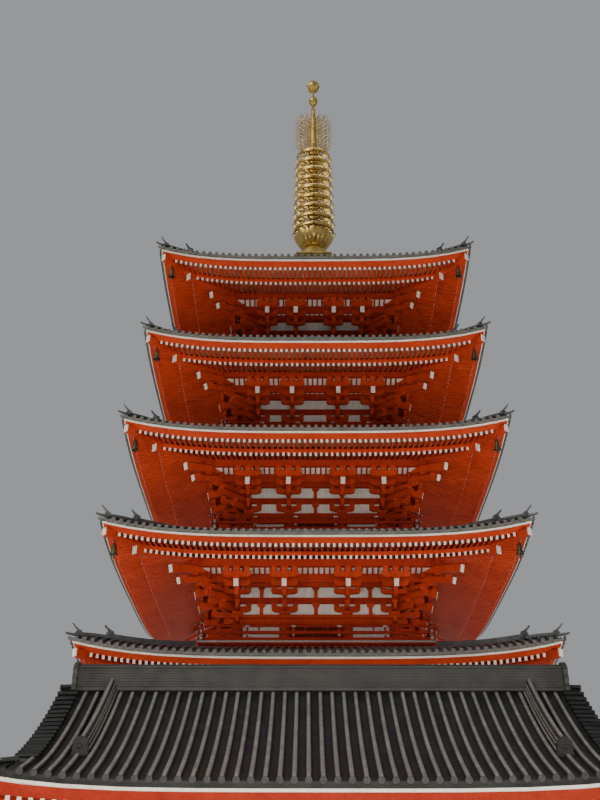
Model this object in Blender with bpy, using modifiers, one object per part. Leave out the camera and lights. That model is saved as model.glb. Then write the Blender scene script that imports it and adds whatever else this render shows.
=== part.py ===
"""Five-storey pagoda on its base hall, as a 1:2 scale model of the real building.

The sizes below are the real building's, in metres, and every mesh is scaled by
MODEL_SCALE at the end. +Z is up, the tower's axis is the Z axis, the ground is
z = 0, and the side that the camera saw faces -Y, with the base hall in front.
"""

import math

import bmesh
import bpy
from mathutils import Matrix, Vector

MODEL_SCALE = 0.5
GAP = 0.004  # clearance between neighbouring pieces, real metres

# ---- tower, one value per storey, from the lowest to the highest
HALF_WALL = [4.10, 3.66, 3.28, 2.92, 2.52]  # corner column centres from the axis
HALF_EAVE = [9.93, 9.30, 8.82, 8.22, 7.82]  # white edge board from the axis
EAVE_Z = [13.03, 18.47, 23.68, 28.82, 33.86]  # white edge board at mid side
INNER_COLUMN = 0.40  # inner columns, as a share of HALF_WALL
BALCONY_OUT = 1.68  # balcony edge beyond the corner columns
BALCONY_RISE = 1.89  # balcony floor above the eave below it
RAIL_HEIGHT = 0.74
CORNER_RISE = 0.65  # how far the eave turns up at the corners
CORNER_POWER = 3.8
TILE_OVERHANG = 0.12
ROOF_THICK = 0.20

# ---- heights above the eave line of the same storey
COLUMN_TOP = -2.30
PLATE_TOP = -1.88
BASE_RAFTER_END = -0.60
RAFTER_SLOPE = 0.35
ROOF_AT_BALCONY = 1.62

# ---- base
PODIUM_HALF = 12.0
PODIUM_HEIGHT = 5.0
TOWER_BASE_HALF = 6.2
TOWER_FLOOR = 5.9

# ---- spire
ROOF_APEX = 38.20
SPIRE_TIP = 53.30

# ---- base hall
HALL_RIDGE_Y = -18.6
HALL_RUN = 6.1  # ridge line to eave, in plan
HALL_EAVE_Z = 5.82
HALL_RIDGE_FOOT = 9.72
HALL_RIDGE_TALL = 0.86
HALL_CORNER_RISE = 0.50
HALL_GABLE_X = 8.20
HALL_EAVE_X = 9.45
HALL_RIDGE_END = 7.88
HALL_DESCENT_X = 6.62  # ridges that run down the front and back slopes
HALL_WALL_X = 7.3
HALL_WALL_Y = 4.0
HALL_FLOOR = 0.35
LINK_HALF = 2.6
LINK_TOP = 4.3

SIDE_STEPS = [-1.0, -0.80, -0.48, 0.48, 0.80]

for old in list(bpy.data.objects):
    bpy.data.objects.remove(old, do_unlink=True)

parts = bpy.data.collections.new("pagoda")
bpy.context.scene.collection.children.link(parts)


def material(name, colour, roughness, metallic=0.0):
    made = bpy.data.materials.new(name)
    made.use_nodes = True
    shader = made.node_tree.nodes["Principled BSDF"]
    shader.inputs["Base Color"].default_value = (*colour, 1.0)
    shader.inputs["Roughness"].default_value = roughness
    shader.inputs["Metallic"].default_value = metallic
    made.diffuse_color = (*colour, 1.0)
    return made


VERMILION = material("vermilion_timber", (0.52, 0.075, 0.03), 0.5)
PLASTER = material("white_plaster", (0.80, 0.75, 0.68), 0.8)
TILE = material("grey_tile", (0.12, 0.13, 0.13), 0.55, 0.3)
GILT = material("gilt_bronze", (0.60, 0.43, 0.13), 0.35, 1.0)
STONE = material("granite", (0.50, 0.49, 0.46), 0.85)


# ---------------------------------------------------------------- mesh helpers
def box(bm, low, high, turn=0.0):
    """A cube primitive stretched between two corners, then turned about the Z axis."""
    low, high = Vector(low), Vector(high)
    size, middle = high - low, (low + high) / 2
    place = (
        Matrix.Rotation(turn, 4, "Z")
        @ Matrix.Translation(middle)
        @ Matrix.Diagonal((*size, 1.0))
    )
    bmesh.ops.create_cube(bm, size=1.0, matrix=place)


def drum(bm, centre, bottom_radius, top_radius, z0, z1, sides=8, turn=0.0):
    place = (
        Matrix.Translation((centre[0], centre[1], (z0 + z1) / 2))
        @ Matrix.Rotation(turn, 4, "Z")
    )
    bmesh.ops.create_cone(
        bm,
        cap_ends=True,
        segments=sides,
        radius1=bottom_radius,
        radius2=top_radius,
        depth=z1 - z0,
        matrix=place,
    )


def outline(bm, points, half_width, place):
    """A flat outline (u, z) given a thickness of twice half_width, laid along +u by place."""
    rim = [bm.verts.new((p[0], -half_width, p[1])) for p in points]
    face = bm.faces.new(rim)
    grown = bmesh.ops.extrude_face_region(bm, geom=[face])
    moved = [v for v in grown["geom"] if isinstance(v, bmesh.types.BMVert)]
    bmesh.ops.translate(bm, verts=moved, vec=(0, 2 * half_width, 0))
    bmesh.ops.transform(bm, verts=rim + moved, matrix=place)


def beam(bm, path, half_width, low, high):
    """A square beam that follows path, a list of points, from low to high above it."""
    first = len(bm.verts)
    place = Matrix.Translation((0.5, 0, 0))
    made = bmesh.ops.create_cube(bm, size=1.0, matrix=place)
    steps = len(path) - 1
    geom = list(
        {e for v in made["verts"] for e in v.link_edges}
        | {f for v in made["verts"] for f in v.link_faces}
        | set(made["verts"])
    )
    for k in range(1, steps):
        cut = bmesh.ops.bisect_plane(
            bm, geom=geom, dist=1e-6, plane_co=(k / steps, 0, 0), plane_no=(1, 0, 0)
        )
        geom = list(set(cut["geom"]) | set(cut["geom_cut"]))
    bm.verts.ensure_lookup_table()
    along = (Vector(path[-1]) - Vector(path[0])).to_2d().normalized()
    side = Vector((-along.y, along.x))
    for v in bm.verts[first:]:
        k = min(steps, max(0, round(v.co.x * steps)))
        p = Vector(path[k])
        s = half_width if v.co.y > 0 else -half_width
        h = high if v.co.z > 0 else low
        v.co = (p.x + side.x * s, p.y + side.y * s, p.z + h)


def ring(section, steps=(-1.0,), name="ring"):
    """A closed band round the four sides. section(t) gives the outline's (half width, z)
    points where t runs from -1 to 1 along a side. It starts as a torus, whose points are
    then moved to the square plan."""
    count = len(section(-1.0))
    bpy.ops.mesh.primitive_torus_add(
        major_segments=4 * len(steps), minor_segments=count
    )
    made = bpy.context.object
    made.name = name
    places = [(s, t) for s in range(4) for t in steps]
    for index, vertex in enumerate(made.data.vertices):
        s, t = places[index // count]
        r, z = section(t)[index % count]
        x, y = t * r, -r
        turn = s * math.pi / 2
        vertex.co = (
            x * math.cos(turn) - y * math.sin(turn),
            x * math.sin(turn) + y * math.cos(turn),
            z,
        )
    bm = bmesh.new()
    bm.from_mesh(made.data)
    bpy.data.objects.remove(made)
    bmesh.ops.recalc_face_normals(bm, faces=bm.faces[:])
    return bm


def loose(bm, name="loose"):
    """A bmesh as an object that isn't a piece yet."""
    bmesh.ops.triangulate(bm, faces=bm.faces[:])
    bmesh.ops.recalc_face_normals(bm, faces=bm.faces[:])
    if bm.calc_volume(signed=True) < 0:
        bmesh.ops.reverse_faces(bm, faces=bm.faces[:])
    mesh = bpy.data.meshes.new(name)
    bm.to_mesh(mesh)
    bm.free()
    made = bpy.data.objects.new(name, mesh)
    bpy.context.scene.collection.objects.link(made)
    return made


def combine(base, other, operation="UNION", overlapping=False):
    """Joins other to base, or cuts it out, and removes other."""
    change = base.modifiers.new("join", "BOOLEAN")
    change.operation = operation
    change.solver = "EXACT"
    change.use_self = overlapping
    change.object = other
    bpy.context.view_layer.update()
    graph = bpy.context.evaluated_depsgraph_get()
    mesh = bpy.data.meshes.new_from_object(base.evaluated_get(graph))
    base.modifiers.clear()
    old = base.data
    base.data = mesh
    bpy.data.meshes.remove(old)
    bpy.data.objects.remove(other)
    return base


def finish(made, name, look, smooth=False):
    """Scales a finished shape to the model's size and files it as a named piece. Flat
    neighbouring faces are merged first, wherever that leaves the surface closed."""
    for merge in (True, False):
        bm = bmesh.new()
        bm.from_mesh(made.data)
        bmesh.ops.scale(bm, vec=(MODEL_SCALE,) * 3, verts=bm.verts[:])
        if merge:
            bmesh.ops.dissolve_limit(
                bm, angle_limit=0.0005, verts=bm.verts[:], edges=bm.edges[:]
            )
        bmesh.ops.triangulate(bm, faces=bm.faces[:])
        if all(len(edge.link_faces) == 2 for edge in bm.edges):
            break
        if merge:
            bm.free()
    bm.to_mesh(made.data)
    bm.free()
    made.name = made.data.name = name
    made.data.materials.clear()
    made.data.materials.append(look)
    for c in list(made.users_collection):
        c.objects.unlink(made)
    parts.objects.link(made)
    if smooth:
        made.data.shade_smooth()
        made.data.set_sharp_from_angle(angle=math.radians(35))
    return made


def quarter(s):
    return Matrix.Rotation(s * math.pi / 2, 4, "Z")


# ---------------------------------------------------------------- roof surfaces
def lift(n, r, t):
    """How far a point of storey n's eave or roof turns up, towards the corners."""
    a = HALF_EAVE[n]
    start = balcony_half(n + 1) if n < 4 else HALF_WALL[n]
    reach = max(0.0, (r - start) / (a - start))
    return CORNER_RISE * reach**1.5 * abs(t) ** CORNER_POWER


def balcony_half(n):
    return HALF_WALL[n] + BALCONY_OUT


def roof_top(n, r):
    """Height of storey n's tiled surface above its eave line, at mid side."""
    outer = HALF_EAVE[n] + TILE_OVERHANG
    if n == 4:
        x = outer - r
        full = outer - 0.95
        rest = (ROOF_APEX - EAVE_Z[4]) - 0.30 - 0.30 * full
        return 0.30 + 0.30 * x + rest * (x / full) ** 2.2
    inner = balcony_half(n + 1)
    q = (outer - r) / (outer - inner)
    if q > 1:
        return ROOF_AT_BALCONY
    return 0.30 + (ROOF_AT_BALCONY - 0.30) * (0.75 * q + 0.25 * q * q)


def roof_radii(n):
    a = HALF_EAVE[n]
    if n == 4:
        return [a, 0.62 * a, 0.36 * a]
    c = balcony_half(n + 1)
    return [a, (a + c) / 2, c]


def roof_corner(n, r):
    """Height of storey n's tiled surface on its corner line, as straight as the covering's
    own steps between two rings of points."""
    points = [HALF_EAVE[n] + TILE_OVERHANG] + roof_radii(n)[1:]
    points.append(HALF_WALL[n + 1] + 0.36 if n < 4 else 0.95)
    for outer, inner in zip(points, points[1:]):
        if r >= inner or inner == points[-1]:
            share = (outer - r) / (outer - inner)
            high = roof_top(n, outer) + lift(n, outer, 1.0)
            low = roof_top(n, inner) + lift(n, inner, 1.0)
            return EAVE_Z[n] + high + (low - high) * share


def eave_inner(n):
    return HALF_WALL[n + 1] - 0.55 if n < 4 else HALF_WALL[4] - 0.55


def soffit(n, r):
    """Underside of storey n's base rafters above its eave line, at mid side."""
    return BASE_RAFTER_END + RAFTER_SLOPE * (HALF_EAVE[n] - 1.45 - r)


# ---------------------------------------------------------------- tower storeys
def storey_walls(n):
    """White wall panels behind the columns, with the four middle bays cut for doors."""
    b, e = HALF_WALL[n], EAVE_Z[n]
    outer, inner = b - 0.28, b - 0.50
    foot = floor_of(n) + GAP
    top = e + soffit(n, b) - GAP
    body = loose(
        ring(lambda t: [(inner, foot), (outer, foot), (outer, top), (inner, top)])
    )
    cut = bmesh.new()
    half = INNER_COLUMN * b - 0.30
    low = floor_of(n) + 0.26
    high = e + COLUMN_TOP - 0.12
    box(cut, (-half, -b - 1, low), (half, b + 1, high))
    combine(body, loose(cut), "DIFFERENCE")
    cut = bmesh.new()
    box(cut, (-b - 1, -half, low), (b + 1, half, high))
    combine(body, loose(cut), "DIFFERENCE")
    finish(body, f"storey_{n + 1}_walls", PLASTER)


def floor_of(n):
    return TOWER_FLOOR if n == 0 else EAVE_Z[n - 1] + BALCONY_RISE


def storey_frame(n):
    """Twelve columns, the wall plate that ties them, and the closed doors between them."""
    b, e = HALF_WALL[n], EAVE_Z[n]
    foot = floor_of(n) + GAP
    plate_low, plate_top = e + COLUMN_TOP, e + PLATE_TOP
    body = loose(
        ring(
            lambda t: [
                (b - 0.262, plate_low),
                (b + 0.34, plate_low),
                (b + 0.34, plate_top),
                (b - 0.262, plate_top),
            ]
        )
    )
    posts = bmesh.new()
    for s in range(4):
        for share in (-1.0, -INNER_COLUMN, INNER_COLUMN):
            p = quarter(s) @ Vector((share * b, -b, 0))
            drum(posts, p, 0.25, 0.25, foot, plate_low + 0.15, 8, math.pi / 8)
    combine(body, loose(posts))
    doors = bmesh.new()
    reach = INNER_COLUMN * b - 0.05
    for s in range(4):
        box(
            doors,
            (-reach, -b - 0.05, foot + 0.01),
            (reach, -b + 0.08, plate_low + 0.1),
            s * math.pi / 2,
        )
    combine(body, loose(doors))
    finish(body, f"storey_{n + 1}_frame", VERMILION)


def storey_brackets(n):
    """Three-step bracket sets on the columns, tied to each other along the wall."""
    b, e = HALF_WALL[n], EAVE_Z[n]

    def under(u):
        return e + soffit(n, b + u) - 0.03

    body = loose(
        ring(
            lambda t: [
                (b - 0.24, e - 1.36),
                (b + 0.10, e - 1.36),
                (b + 0.10, e - 0.42),
                (b - 0.24, e - 0.42),
            ]
        )
    )
    back = -0.262
    steps = [
        (back, e + PLATE_TOP + GAP),
        (0.34, e + PLATE_TOP + GAP),
        (1.05, e - 1.28),
        (2.10, e - 1.08),
        (2.10, e - 0.82),
        (2.06, e - 0.20),
        (1.72, e - 0.20),
        (1.66, under(1.66)),
        (back, under(0.26)),
    ]
    corner = [
        (-0.30, e + PLATE_TOP + GAP),
        (0.48, e + PLATE_TOP + GAP),
        (1.50, e - 1.28),
        (3.64, e - 1.20),
        (3.64, e - 0.96),
        (3.90, e - 0.75),
        (4.10, e - 0.75),
        (4.10, e - 0.50),
        (3.00, e - 0.26),
        (2.26, e - 0.26),
        (2.20, under(1.74)),
        (-0.30, under(0.1)),
    ]
    for share, half_width in ((-INNER_COLUMN, 0.24), (INNER_COLUMN, 0.24), (-1.0, 0.21), (1.0, 0.23)):
        sets = bmesh.new()
        for s in range(4):
            place = (
                quarter(s)
                @ Matrix.Translation((share * b, -b, 0))
                @ Matrix.Rotation(-math.pi / 2, 4, "Z")
            )
            outline(sets, steps, half_width, place)
        combine(body, loose(sets))
    sets = bmesh.new()
    for s in range(4):
        place = quarter(s) @ Matrix.Translation((b, -b, 0)) @ Matrix.Rotation(-math.pi / 4, 4, "Z")
        outline(sets, corner, 0.17, place)
    combine(body, loose(sets))
    finish(body, f"storey_{n + 1}_brackets", VERMILION)


def storey_eaves(n):
    """The eave purlin, the two layers of rafters and the edge boards as one deep curved
    band, with the corner rafters and the wind bells that hang from them."""
    b, a, e = HALF_WALL[n], HALF_EAVE[n], EAVE_Z[n]
    inner = eave_inner(n)

    def section(t):
        low = [
            (inner, soffit(n, b)),
            (b, soffit(n, b)),
            (b + 1.76, soffit(n, b + 1.76)),
            (b + 1.76, -0.18),
            (b + 2.04, -0.18),
            (b + 2.04, soffit(n, b + 2.04)),
            (a - 1.45, BASE_RAFTER_END),
            (a - 1.45, -0.34),
            (a - 0.42, -0.42),
            (a - 0.42, -0.27),
            (a, -0.01),
        ]
        high = [(r, roof_top(n, r) - ROOF_THICK - GAP) for r in roof_radii(n)]
        if n == 4:
            high = [(a, high[0][1]), (0.62 * a, high[1][1]), (inner, high[1][1] + 0.02)]
        else:
            high.append((inner, high[-1][1]))
        return [(r, e + z + lift(n, r, t)) for r, z in low + high]

    body = loose(ring(section, SIDE_STEPS))
    hips = bmesh.new()
    for s in range(4):
        turn = quarter(s)

        def point(r, z):
            return turn @ Vector((r, -r, e + z + lift(n, r, 1.0)))

        beam(hips, [point(a - 3.1, -0.15), point(a - 1.22, -0.80)], 0.15, 0.0, 0.30)
    combine(body, loose(hips))
    hips = bmesh.new()
    for s in range(4):
        turn = quarter(s)
        beam(hips, [point_on(turn, n, a - 1.8, -0.36), point_on(turn, n, a - 0.10, -0.62)], 0.13, 0.0, 0.30)
    combine(body, loose(hips))
    bells = bmesh.new()
    for s in range(4):
        p = point_on(quarter(s), n, a - 0.50, -0.50)
        drum(bells, p, 0.19, 0.06, p.z - 0.90, p.z + 0.04, 6)
    combine(body, loose(bells))
    finish(body, f"storey_{n + 1}_eaves", VERMILION)


def point_on(turn, n, r, z):
    return turn @ Vector((r, -r, EAVE_Z[n] + z + lift(n, r, 1.0)))


def storey_roof(n):
    """The tiled covering, and on its four corners the hip ridges with their end tiles."""
    a, e = HALF_EAVE[n], EAVE_Z[n]
    outer = a + TILE_OVERHANG
    inner = HALF_WALL[n + 1] + 0.36 if n < 4 else 0.95
    radii = [r for r in roof_radii(n)]

    def section(t):
        top = [(outer, roof_top(n, outer))] + [(r, roof_top(n, r)) for r in radii[1:]]
        top.append((inner, roof_top(n, inner)))
        low = [(r, z - ROOF_THICK) for r, z in reversed(top[1:])]
        low.append((a, roof_top(n, a) - ROOF_THICK))
        low.append((outer, roof_top(n, outer) - ROOF_THICK))
        return [(r, e + z + lift(n, r, t)) for r, z in top + low]

    body = loose(ring(section, SIDE_STEPS))
    start = 1.05 if n == 4 else balcony_half(n + 1) + 0.14
    knee = a - 1.15
    for first, last, half_width, low, high in (
        (start, knee + 0.06, 0.20, -0.11, 0.46),
        (knee - 0.31, a - 0.06, 0.15, -0.125, 0.25),
    ):
        ridges = bmesh.new()
        for s in range(4):
            path = []
            for k in range(4):
                r = first + (last - first) * k / 3
                path.append(quarter(s) @ Vector((r, -r, roof_corner(n, r))))
            beam(ridges, path, half_width, low, high)
        combine(body, loose(ridges))
    for r, tall, wide in ((knee, 0.62, 0.28), (a - 0.16, 0.46, 0.21)):
        ends = bmesh.new()
        for s in range(4):
            place = quarter(s) @ Matrix.Translation((r, -r, roof_corner(n, r))) @ Matrix.Rotation(-math.pi / 4, 4, "Z")
            outline(ends, [(-0.10, -0.06), (0.10, -0.06), (0.20, tall), (0.03, tall)], wide, place)
        combine(body, loose(ends))
    tips = bmesh.new()
    for s in range(4):
        path = []
        for r, rise in ((a - 0.37, 0.013), (a + 0.26, 0.10)):
            path.append(quarter(s) @ Vector((r, -r, roof_corner(n, min(r, outer)) + rise)))
        beam(tips, path, 0.068, -0.057, 0.127)
    combine(body, loose(tips))
    finish(body, f"storey_{n + 1}_roof", TILE)


def balcony(n):
    """An upper storey's floor, which runs out as the walkway, its kerb on the roof below,
    and the railing."""
    b, c = HALF_WALL[n], balcony_half(n)
    floor = floor_of(n)
    roof = EAVE_Z[n - 1] + ROOF_AT_BALCONY + GAP
    bm = bmesh.new()
    box(bm, (-c, -c, floor - 0.14), (c, c, floor))
    body = loose(bm)
    kerb = loose(
        ring(
            lambda t: [
                (c - 0.45, roof),
                (c - 0.22, roof),
                (c - 0.22, floor - 0.07),
                (c - 0.45, floor - 0.07),
            ]
        )
    )
    combine(body, kerb)
    finish(body, f"storey_{n + 1}_floor", VERMILION)
    top = floor + RAIL_HEIGHT
    rails = loose(
        ring(
            lambda t: [
                (c - 0.21, top - 0.09),
                (c - 0.11, top - 0.09),
                (c - 0.11, top),
                (c - 0.21, top),
            ]
        )
    )
    low_rail = loose(
        ring(
            lambda t: [
                (c - 0.195, floor + 0.10),
                (c - 0.125, floor + 0.10),
                (c - 0.125, floor + 0.20),
                (c - 0.195, floor + 0.20),
            ]
        )
    )
    bm = bmesh.new()
    for s in range(4):
        box(
            bm,
            (c - 0.25, -c + 0.07, floor + GAP),
            (c - 0.07, -c + 0.25, top + 0.20),
            s * math.pi / 2,
        )
        box(
            bm,
            (-0.055, -c + 0.09, floor + GAP),
            (0.055, -c + 0.23, top - 0.03),
            s * math.pi / 2,
        )
    combine(rails, loose(bm))
    combine(rails, low_rail)
    finish(rails, f"storey_{n + 1}_railing", VERMILION)


for level in range(5):
    storey_walls(level)
    storey_frame(level)
    storey_brackets(level)
    storey_eaves(level)
    storey_roof(level)
    if level:
        balcony(level)


# ---------------------------------------------------------------- spire
def turned(profile, segments=16):
    """A solid of revolution: profile is (radius, z) points from top to bottom, run down
    the outer side and closed on the axis."""
    mesh = bpy.data.meshes.new("profile")
    bm = bmesh.new()
    points = [bm.verts.new((r, 0, z)) for r, z in profile]
    for first, second in zip(points, points[1:]):
        bm.edges.new((first, second))
    bm.to_mesh(mesh)
    bm.free()
    made = bpy.data.objects.new("turned", mesh)
    bpy.context.scene.collection.objects.link(made)
    screw = made.modifiers.new("screw", "SCREW")
    screw.axis = "Z"
    screw.steps = screw.render_steps = segments
    screw.use_merge_vertices = True
    screw.merge_threshold = 0.0001
    bpy.context.view_layer.update()
    graph = bpy.context.evaluated_depsgraph_get()
    whole = bpy.data.meshes.new_from_object(made.evaluated_get(graph))
    made.modifiers.clear()
    made.data = whole
    bm = bmesh.new()
    bm.from_mesh(whole)
    bmesh.ops.remove_doubles(bm, verts=bm.verts[:], dist=0.0001)
    bmesh.ops.recalc_face_normals(bm, faces=bm.faces[:])
    bm.to_mesh(whole)
    bm.free()
    return made


bm = bmesh.new()
box(bm, (-0.86, -0.86, ROOF_APEX - 0.30), (0.86, 0.86, ROOF_APEX + 0.86))
base_box = loose(bm)
bm = bmesh.new()
box(bm, (-1.06, -1.06, ROOF_APEX + 0.70), (1.06, 1.06, ROOF_APEX + 0.95))
combine(base_box, loose(bm))
finish(base_box, "spire_dew_basin", GILT)

low = ROOF_APEX + 0.95 + GAP
lotus_top = 40.95
bowl = turned(
    [
        (0, lotus_top),
        (1.10, lotus_top - 0.03),
        (1.14, lotus_top - 0.20),
        (0.98, lotus_top - 0.48),
        (0.70, lotus_top - 0.76),
        (0.60, lotus_top - 0.92),
        (0.70, lotus_top - 1.08),
        (0.88, lotus_top - 1.40),
        (0.92, low),
        (0, low),
    ]
)
finish(bowl, "spire_bowl_and_lotus", GILT, True)

RING_LOW, RING_HIGH = 41.15, 46.84
shaft_low, shaft_top = lotus_top + GAP, 47.15
bm = bmesh.new()
drum(bm, (0, 0, 0), 0.21, 0.19, shaft_low, shaft_top, 8)
mast = loose(bm)
for k in range(9):
    z = RING_LOW + (RING_HIGH - RING_LOW) * k / 8
    radius = 1.22 - 0.17 * k / 8
    hoop = turned(
        [
            (radius - 0.11, z + 0.12),
            (radius, z + 0.12),
            (radius, z - 0.12),
            (radius - 0.11, z - 0.12),
            (radius - 0.11, z + 0.12),
        ],
        12,
    )
    bm = bmesh.new()
    box(bm, (-radius + 0.05, -0.05, z - 0.06), (radius - 0.05, 0.05, z + 0.04))
    combine(hoop, loose(bm))
    combine(mast, hoop)
finish(mast, "spire_nine_rings", GILT)

flame_low, flame_high = shaft_top + GAP, 50.75
flame = None
for s in range(2):
    bm = bmesh.new()
    outline(
        bm,
        [
            (-1.16, flame_low + 0.60),
            (-0.55, flame_low + 0.0),
            (0.55, flame_low + 0.0),
            (1.16, flame_low + 0.60),
            (1.22, flame_low + 2.00),
            (0.95, flame_low + 3.00),
            (0.30, flame_high),
            (-0.30, flame_high),
            (-0.95, flame_low + 3.00),
            (-1.22, flame_low + 2.00),
        ],
        0.05 - 0.01 * s,
        Matrix.Rotation(s * math.pi / 2, 4, "Z"),
    )
    blade = loose(bm)
    flame = blade if flame is None else combine(flame, blade)
bm = bmesh.new()
drum(bm, (0, 0, 0), 0.19, 0.12, flame_low, flame_high + 0.12, 10)
combine(flame, loose(bm))
finish(flame, "spire_water_flame", GILT)

jewel_low = flame_high + 0.12 + GAP
jewels = turned(
    [
        (0, SPIRE_TIP),
        (0.14, SPIRE_TIP - 0.05),
        (0.36, SPIRE_TIP - 0.20),
        (0.425, SPIRE_TIP - 0.42),
        (0.33, SPIRE_TIP - 0.68),
        (0.12, SPIRE_TIP - 0.82),
        (0.07, SPIRE_TIP - 0.90),
        (0.07, 51.96),
        (0.20, 51.89),
        (0.295, 51.66),
        (0.20, 51.42),
        (0.09, 51.34),
        (0.09, jewel_low),
        (0, jewel_low),
    ],
    14,
)
finish(jewels, "spire_jewels", GILT, True)

# ---------------------------------------------------------------- base of the tower
P, H = PODIUM_HALF, PODIUM_HEIGHT
bm = bmesh.new()
box(bm, (-P, -P, 0), (P, P, 0.35))
finish(loose(bm), "podium_floor", STONE)
podium = loose(
    ring(
        lambda t: [
            (P - 0.65, 0.35 + GAP),
            (P - 0.22, 0.35 + GAP),
            (P - 0.22, H - 0.50),
            (P - 0.65, H - 0.50),
        ]
    )
)
bm = bmesh.new()
for s in range(4):
    for share in (-1.0, -0.5, 0.5):
        x = share * (P - 0.35)
        box(bm, (x - 0.18, -P + 0.08, 0.35 + GAP), (x + 0.18, -P + 0.60, H - 0.50), s * math.pi / 2)
combine(podium, loose(bm))
bm = bmesh.new()
box(bm, (-LINK_HALF + 0.3, -P - 1, 0.35 + GAP - 0.2), (LINK_HALF - 0.3, -P + 2, LINK_TOP - 0.4))
combine(podium, loose(bm), "DIFFERENCE")
finish(podium, "podium_walls", STONE)
bm = bmesh.new()
box(bm, (-P, -P, H - 0.50 + GAP), (P, P, H))
finish(loose(bm), "podium_terrace", STONE)

c, floor, top = P - 0.15, H, H + 1.0
rails = loose(
    ring(
        lambda t: [
            (c - 0.23, top - 0.12),
            (c - 0.09, top - 0.12),
            (c - 0.09, top),
            (c - 0.23, top),
        ]
    )
)
bm = bmesh.new()
for s in range(4):
    box(bm, (c - 0.29, -c + 0.03, floor + GAP), (c - 0.03, -c + 0.29, top + 0.25), s * math.pi / 2)
    for share in (-0.33, 0.33):
        x = share * c
        box(bm, (x - 0.07, -c + 0.07, floor + GAP), (x + 0.07, -c + 0.25, top - 0.05), s * math.pi / 2)
combine(rails, loose(bm))
low_rail = loose(
    ring(
        lambda t: [
            (c - 0.21, floor + 0.12),
            (c - 0.11, floor + 0.12),
            (c - 0.11, floor + 0.26),
            (c - 0.21, floor + 0.26),
        ]
    )
)
combine(rails, low_rail)
finish(rails, "terrace_railing", VERMILION)

T = TOWER_BASE_HALF
bm = bmesh.new()
box(bm, (-T, -T, H + GAP), (T, T, TOWER_FLOOR))
tower_base = loose(bm)
for k in range(3):
    rise = (TOWER_FLOOR - H) / 4
    reach = T + 0.34 * (3 - k)
    bm = bmesh.new()
    box(bm, (-1.5 + 0.01 * k, -reach, H + GAP), (1.5 - 0.01 * k, reach, H + rise * (k + 1)))
    combine(tower_base, loose(bm))
    bm = bmesh.new()
    box(bm, (-reach, -1.5 + 0.01 * k, H + GAP), (reach, 1.5 - 0.01 * k, H + rise * (k + 1)))
    combine(tower_base, loose(bm))
finish(tower_base, "tower_base", STONE)


# ---------------------------------------------------------------- base hall
def hall_top(edge):
    """Height of the hall's tiled surface at a distance in plan from its eave."""
    q = edge / HALL_RUN
    return HALL_EAVE_Z + 0.26 + (HALL_RIDGE_FOOT - HALL_EAVE_Z - 0.26) * (0.70 * q + 0.30 * q * q)


def hall_lift(x, y):
    """The upturn towards the hall's four corners."""
    ax = abs(x) / HALL_EAVE_X
    ay = abs(y - HALL_RIDGE_Y) / HALL_RUN
    return HALL_CORNER_RISE * ax**4.4 * ay**4


def sheet(xs, ys, height, thick, overlap=0.0):
    """A curved slab over a grid of plan points: a grid primitive with its points lifted,
    thickened straight down."""
    bm = bmesh.new()
    bmesh.ops.create_grid(bm, x_segments=len(xs) - 1, y_segments=len(ys) - 1, size=1.0)
    for v in bm.verts:
        i = round((v.co.x + 1) / 2 * (len(xs) - 1))
        j = round((v.co.y + 1) / 2 * (len(ys) - 1))
        x, y = xs[i], ys[j]
        v.co = (x, y, height(x, y))
    # each field is split along the diagonal that follows the surface, as at a hip
    for face in bm.faces[:]:
        a, b, c, d = face.verts
        middle = (a.co + b.co + c.co + d.co) / 4
        true = height(middle.x, middle.y)
        along, across = (a.co.z + c.co.z) / 2, (b.co.z + d.co.z) / 2
        pair = (a, c) if abs(along - true) <= abs(across - true) else (b, d)
        bmesh.utils.face_split(face, *pair)
    faces = bm.faces[:]
    grown = bmesh.ops.extrude_face_region(bm, geom=faces)
    moved = [v for v in grown["geom"] if isinstance(v, bmesh.types.BMVert)]
    for v in moved:
        v.co.z -= thick(v.co.x, v.co.y) if callable(thick) else thick
    bmesh.ops.recalc_face_normals(bm, faces=bm.faces[:])
    return bm


R, G, E = HALL_RUN, HALL_GABLE_X, HALL_EAVE_X
ys = [HALL_RIDGE_Y + R * k for k in (-1.0, -0.8, -0.58, -0.3, 0.0, 0.3, 0.58, 0.8, 1.0)]


def main_slope(x, y):
    return hall_top(R - abs(y - HALL_RIDGE_Y)) + hall_lift(x, y)


def skirt(x, y):
    edge = min(R - abs(y - HALL_RIDGE_Y), E - abs(x))
    return hall_top(edge) + hall_lift(x, y)


roof = loose(sheet([-G, -0.6 * G, 0.0, 0.6 * G, G], ys, main_slope, 0.24))
fall = E - G
side_ys = [HALL_RIDGE_Y + v for v in (-R, -R + fall * 0.5, -R + fall, 0.0, R - fall, R - fall * 0.5, R)]
for sign in (-1, 1):
    xs = sorted([sign * (G - 0.30), sign * G, sign * (G + fall * 0.5), sign * E])
    combine(roof, loose(sheet(xs, side_ys, lambda x, y: skirt(x, y) - 0.002, 0.235)))

ridge_z = HALL_RIDGE_FOOT
bm = bmesh.new()
box(bm, (-HALL_RIDGE_END + 0.05, HALL_RIDGE_Y - 0.30, ridge_z - 0.15), (HALL_RIDGE_END - 0.05, HALL_RIDGE_Y + 0.30, ridge_z + HALL_RIDGE_TALL))
combine(roof, loose(bm))
bm = bmesh.new()
for sign in (-1, 1):
    box(
        bm,
        (sign * (HALL_RIDGE_END - 0.12) - 0.14, HALL_RIDGE_Y - 0.42, ridge_z - 0.12),
        (sign * (HALL_RIDGE_END - 0.12) + 0.14, HALL_RIDGE_Y + 0.42, ridge_z + 1.22),
    )
combine(roof, loose(bm))
bm = bmesh.new()
for sx in (-1, 1):
    for sy in (-1, 1):
        path = []
        for k in range(4):
            x, y = sx * HALL_DESCENT_X, HALL_RIDGE_Y + sy * (0.1 + 4.17 * k / 3)
            path.append((x, y, main_slope(x, y)))
        beam(bm, path, 0.17, -0.10, 0.50)
combine(roof, loose(bm))
bm = bmesh.new()
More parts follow.
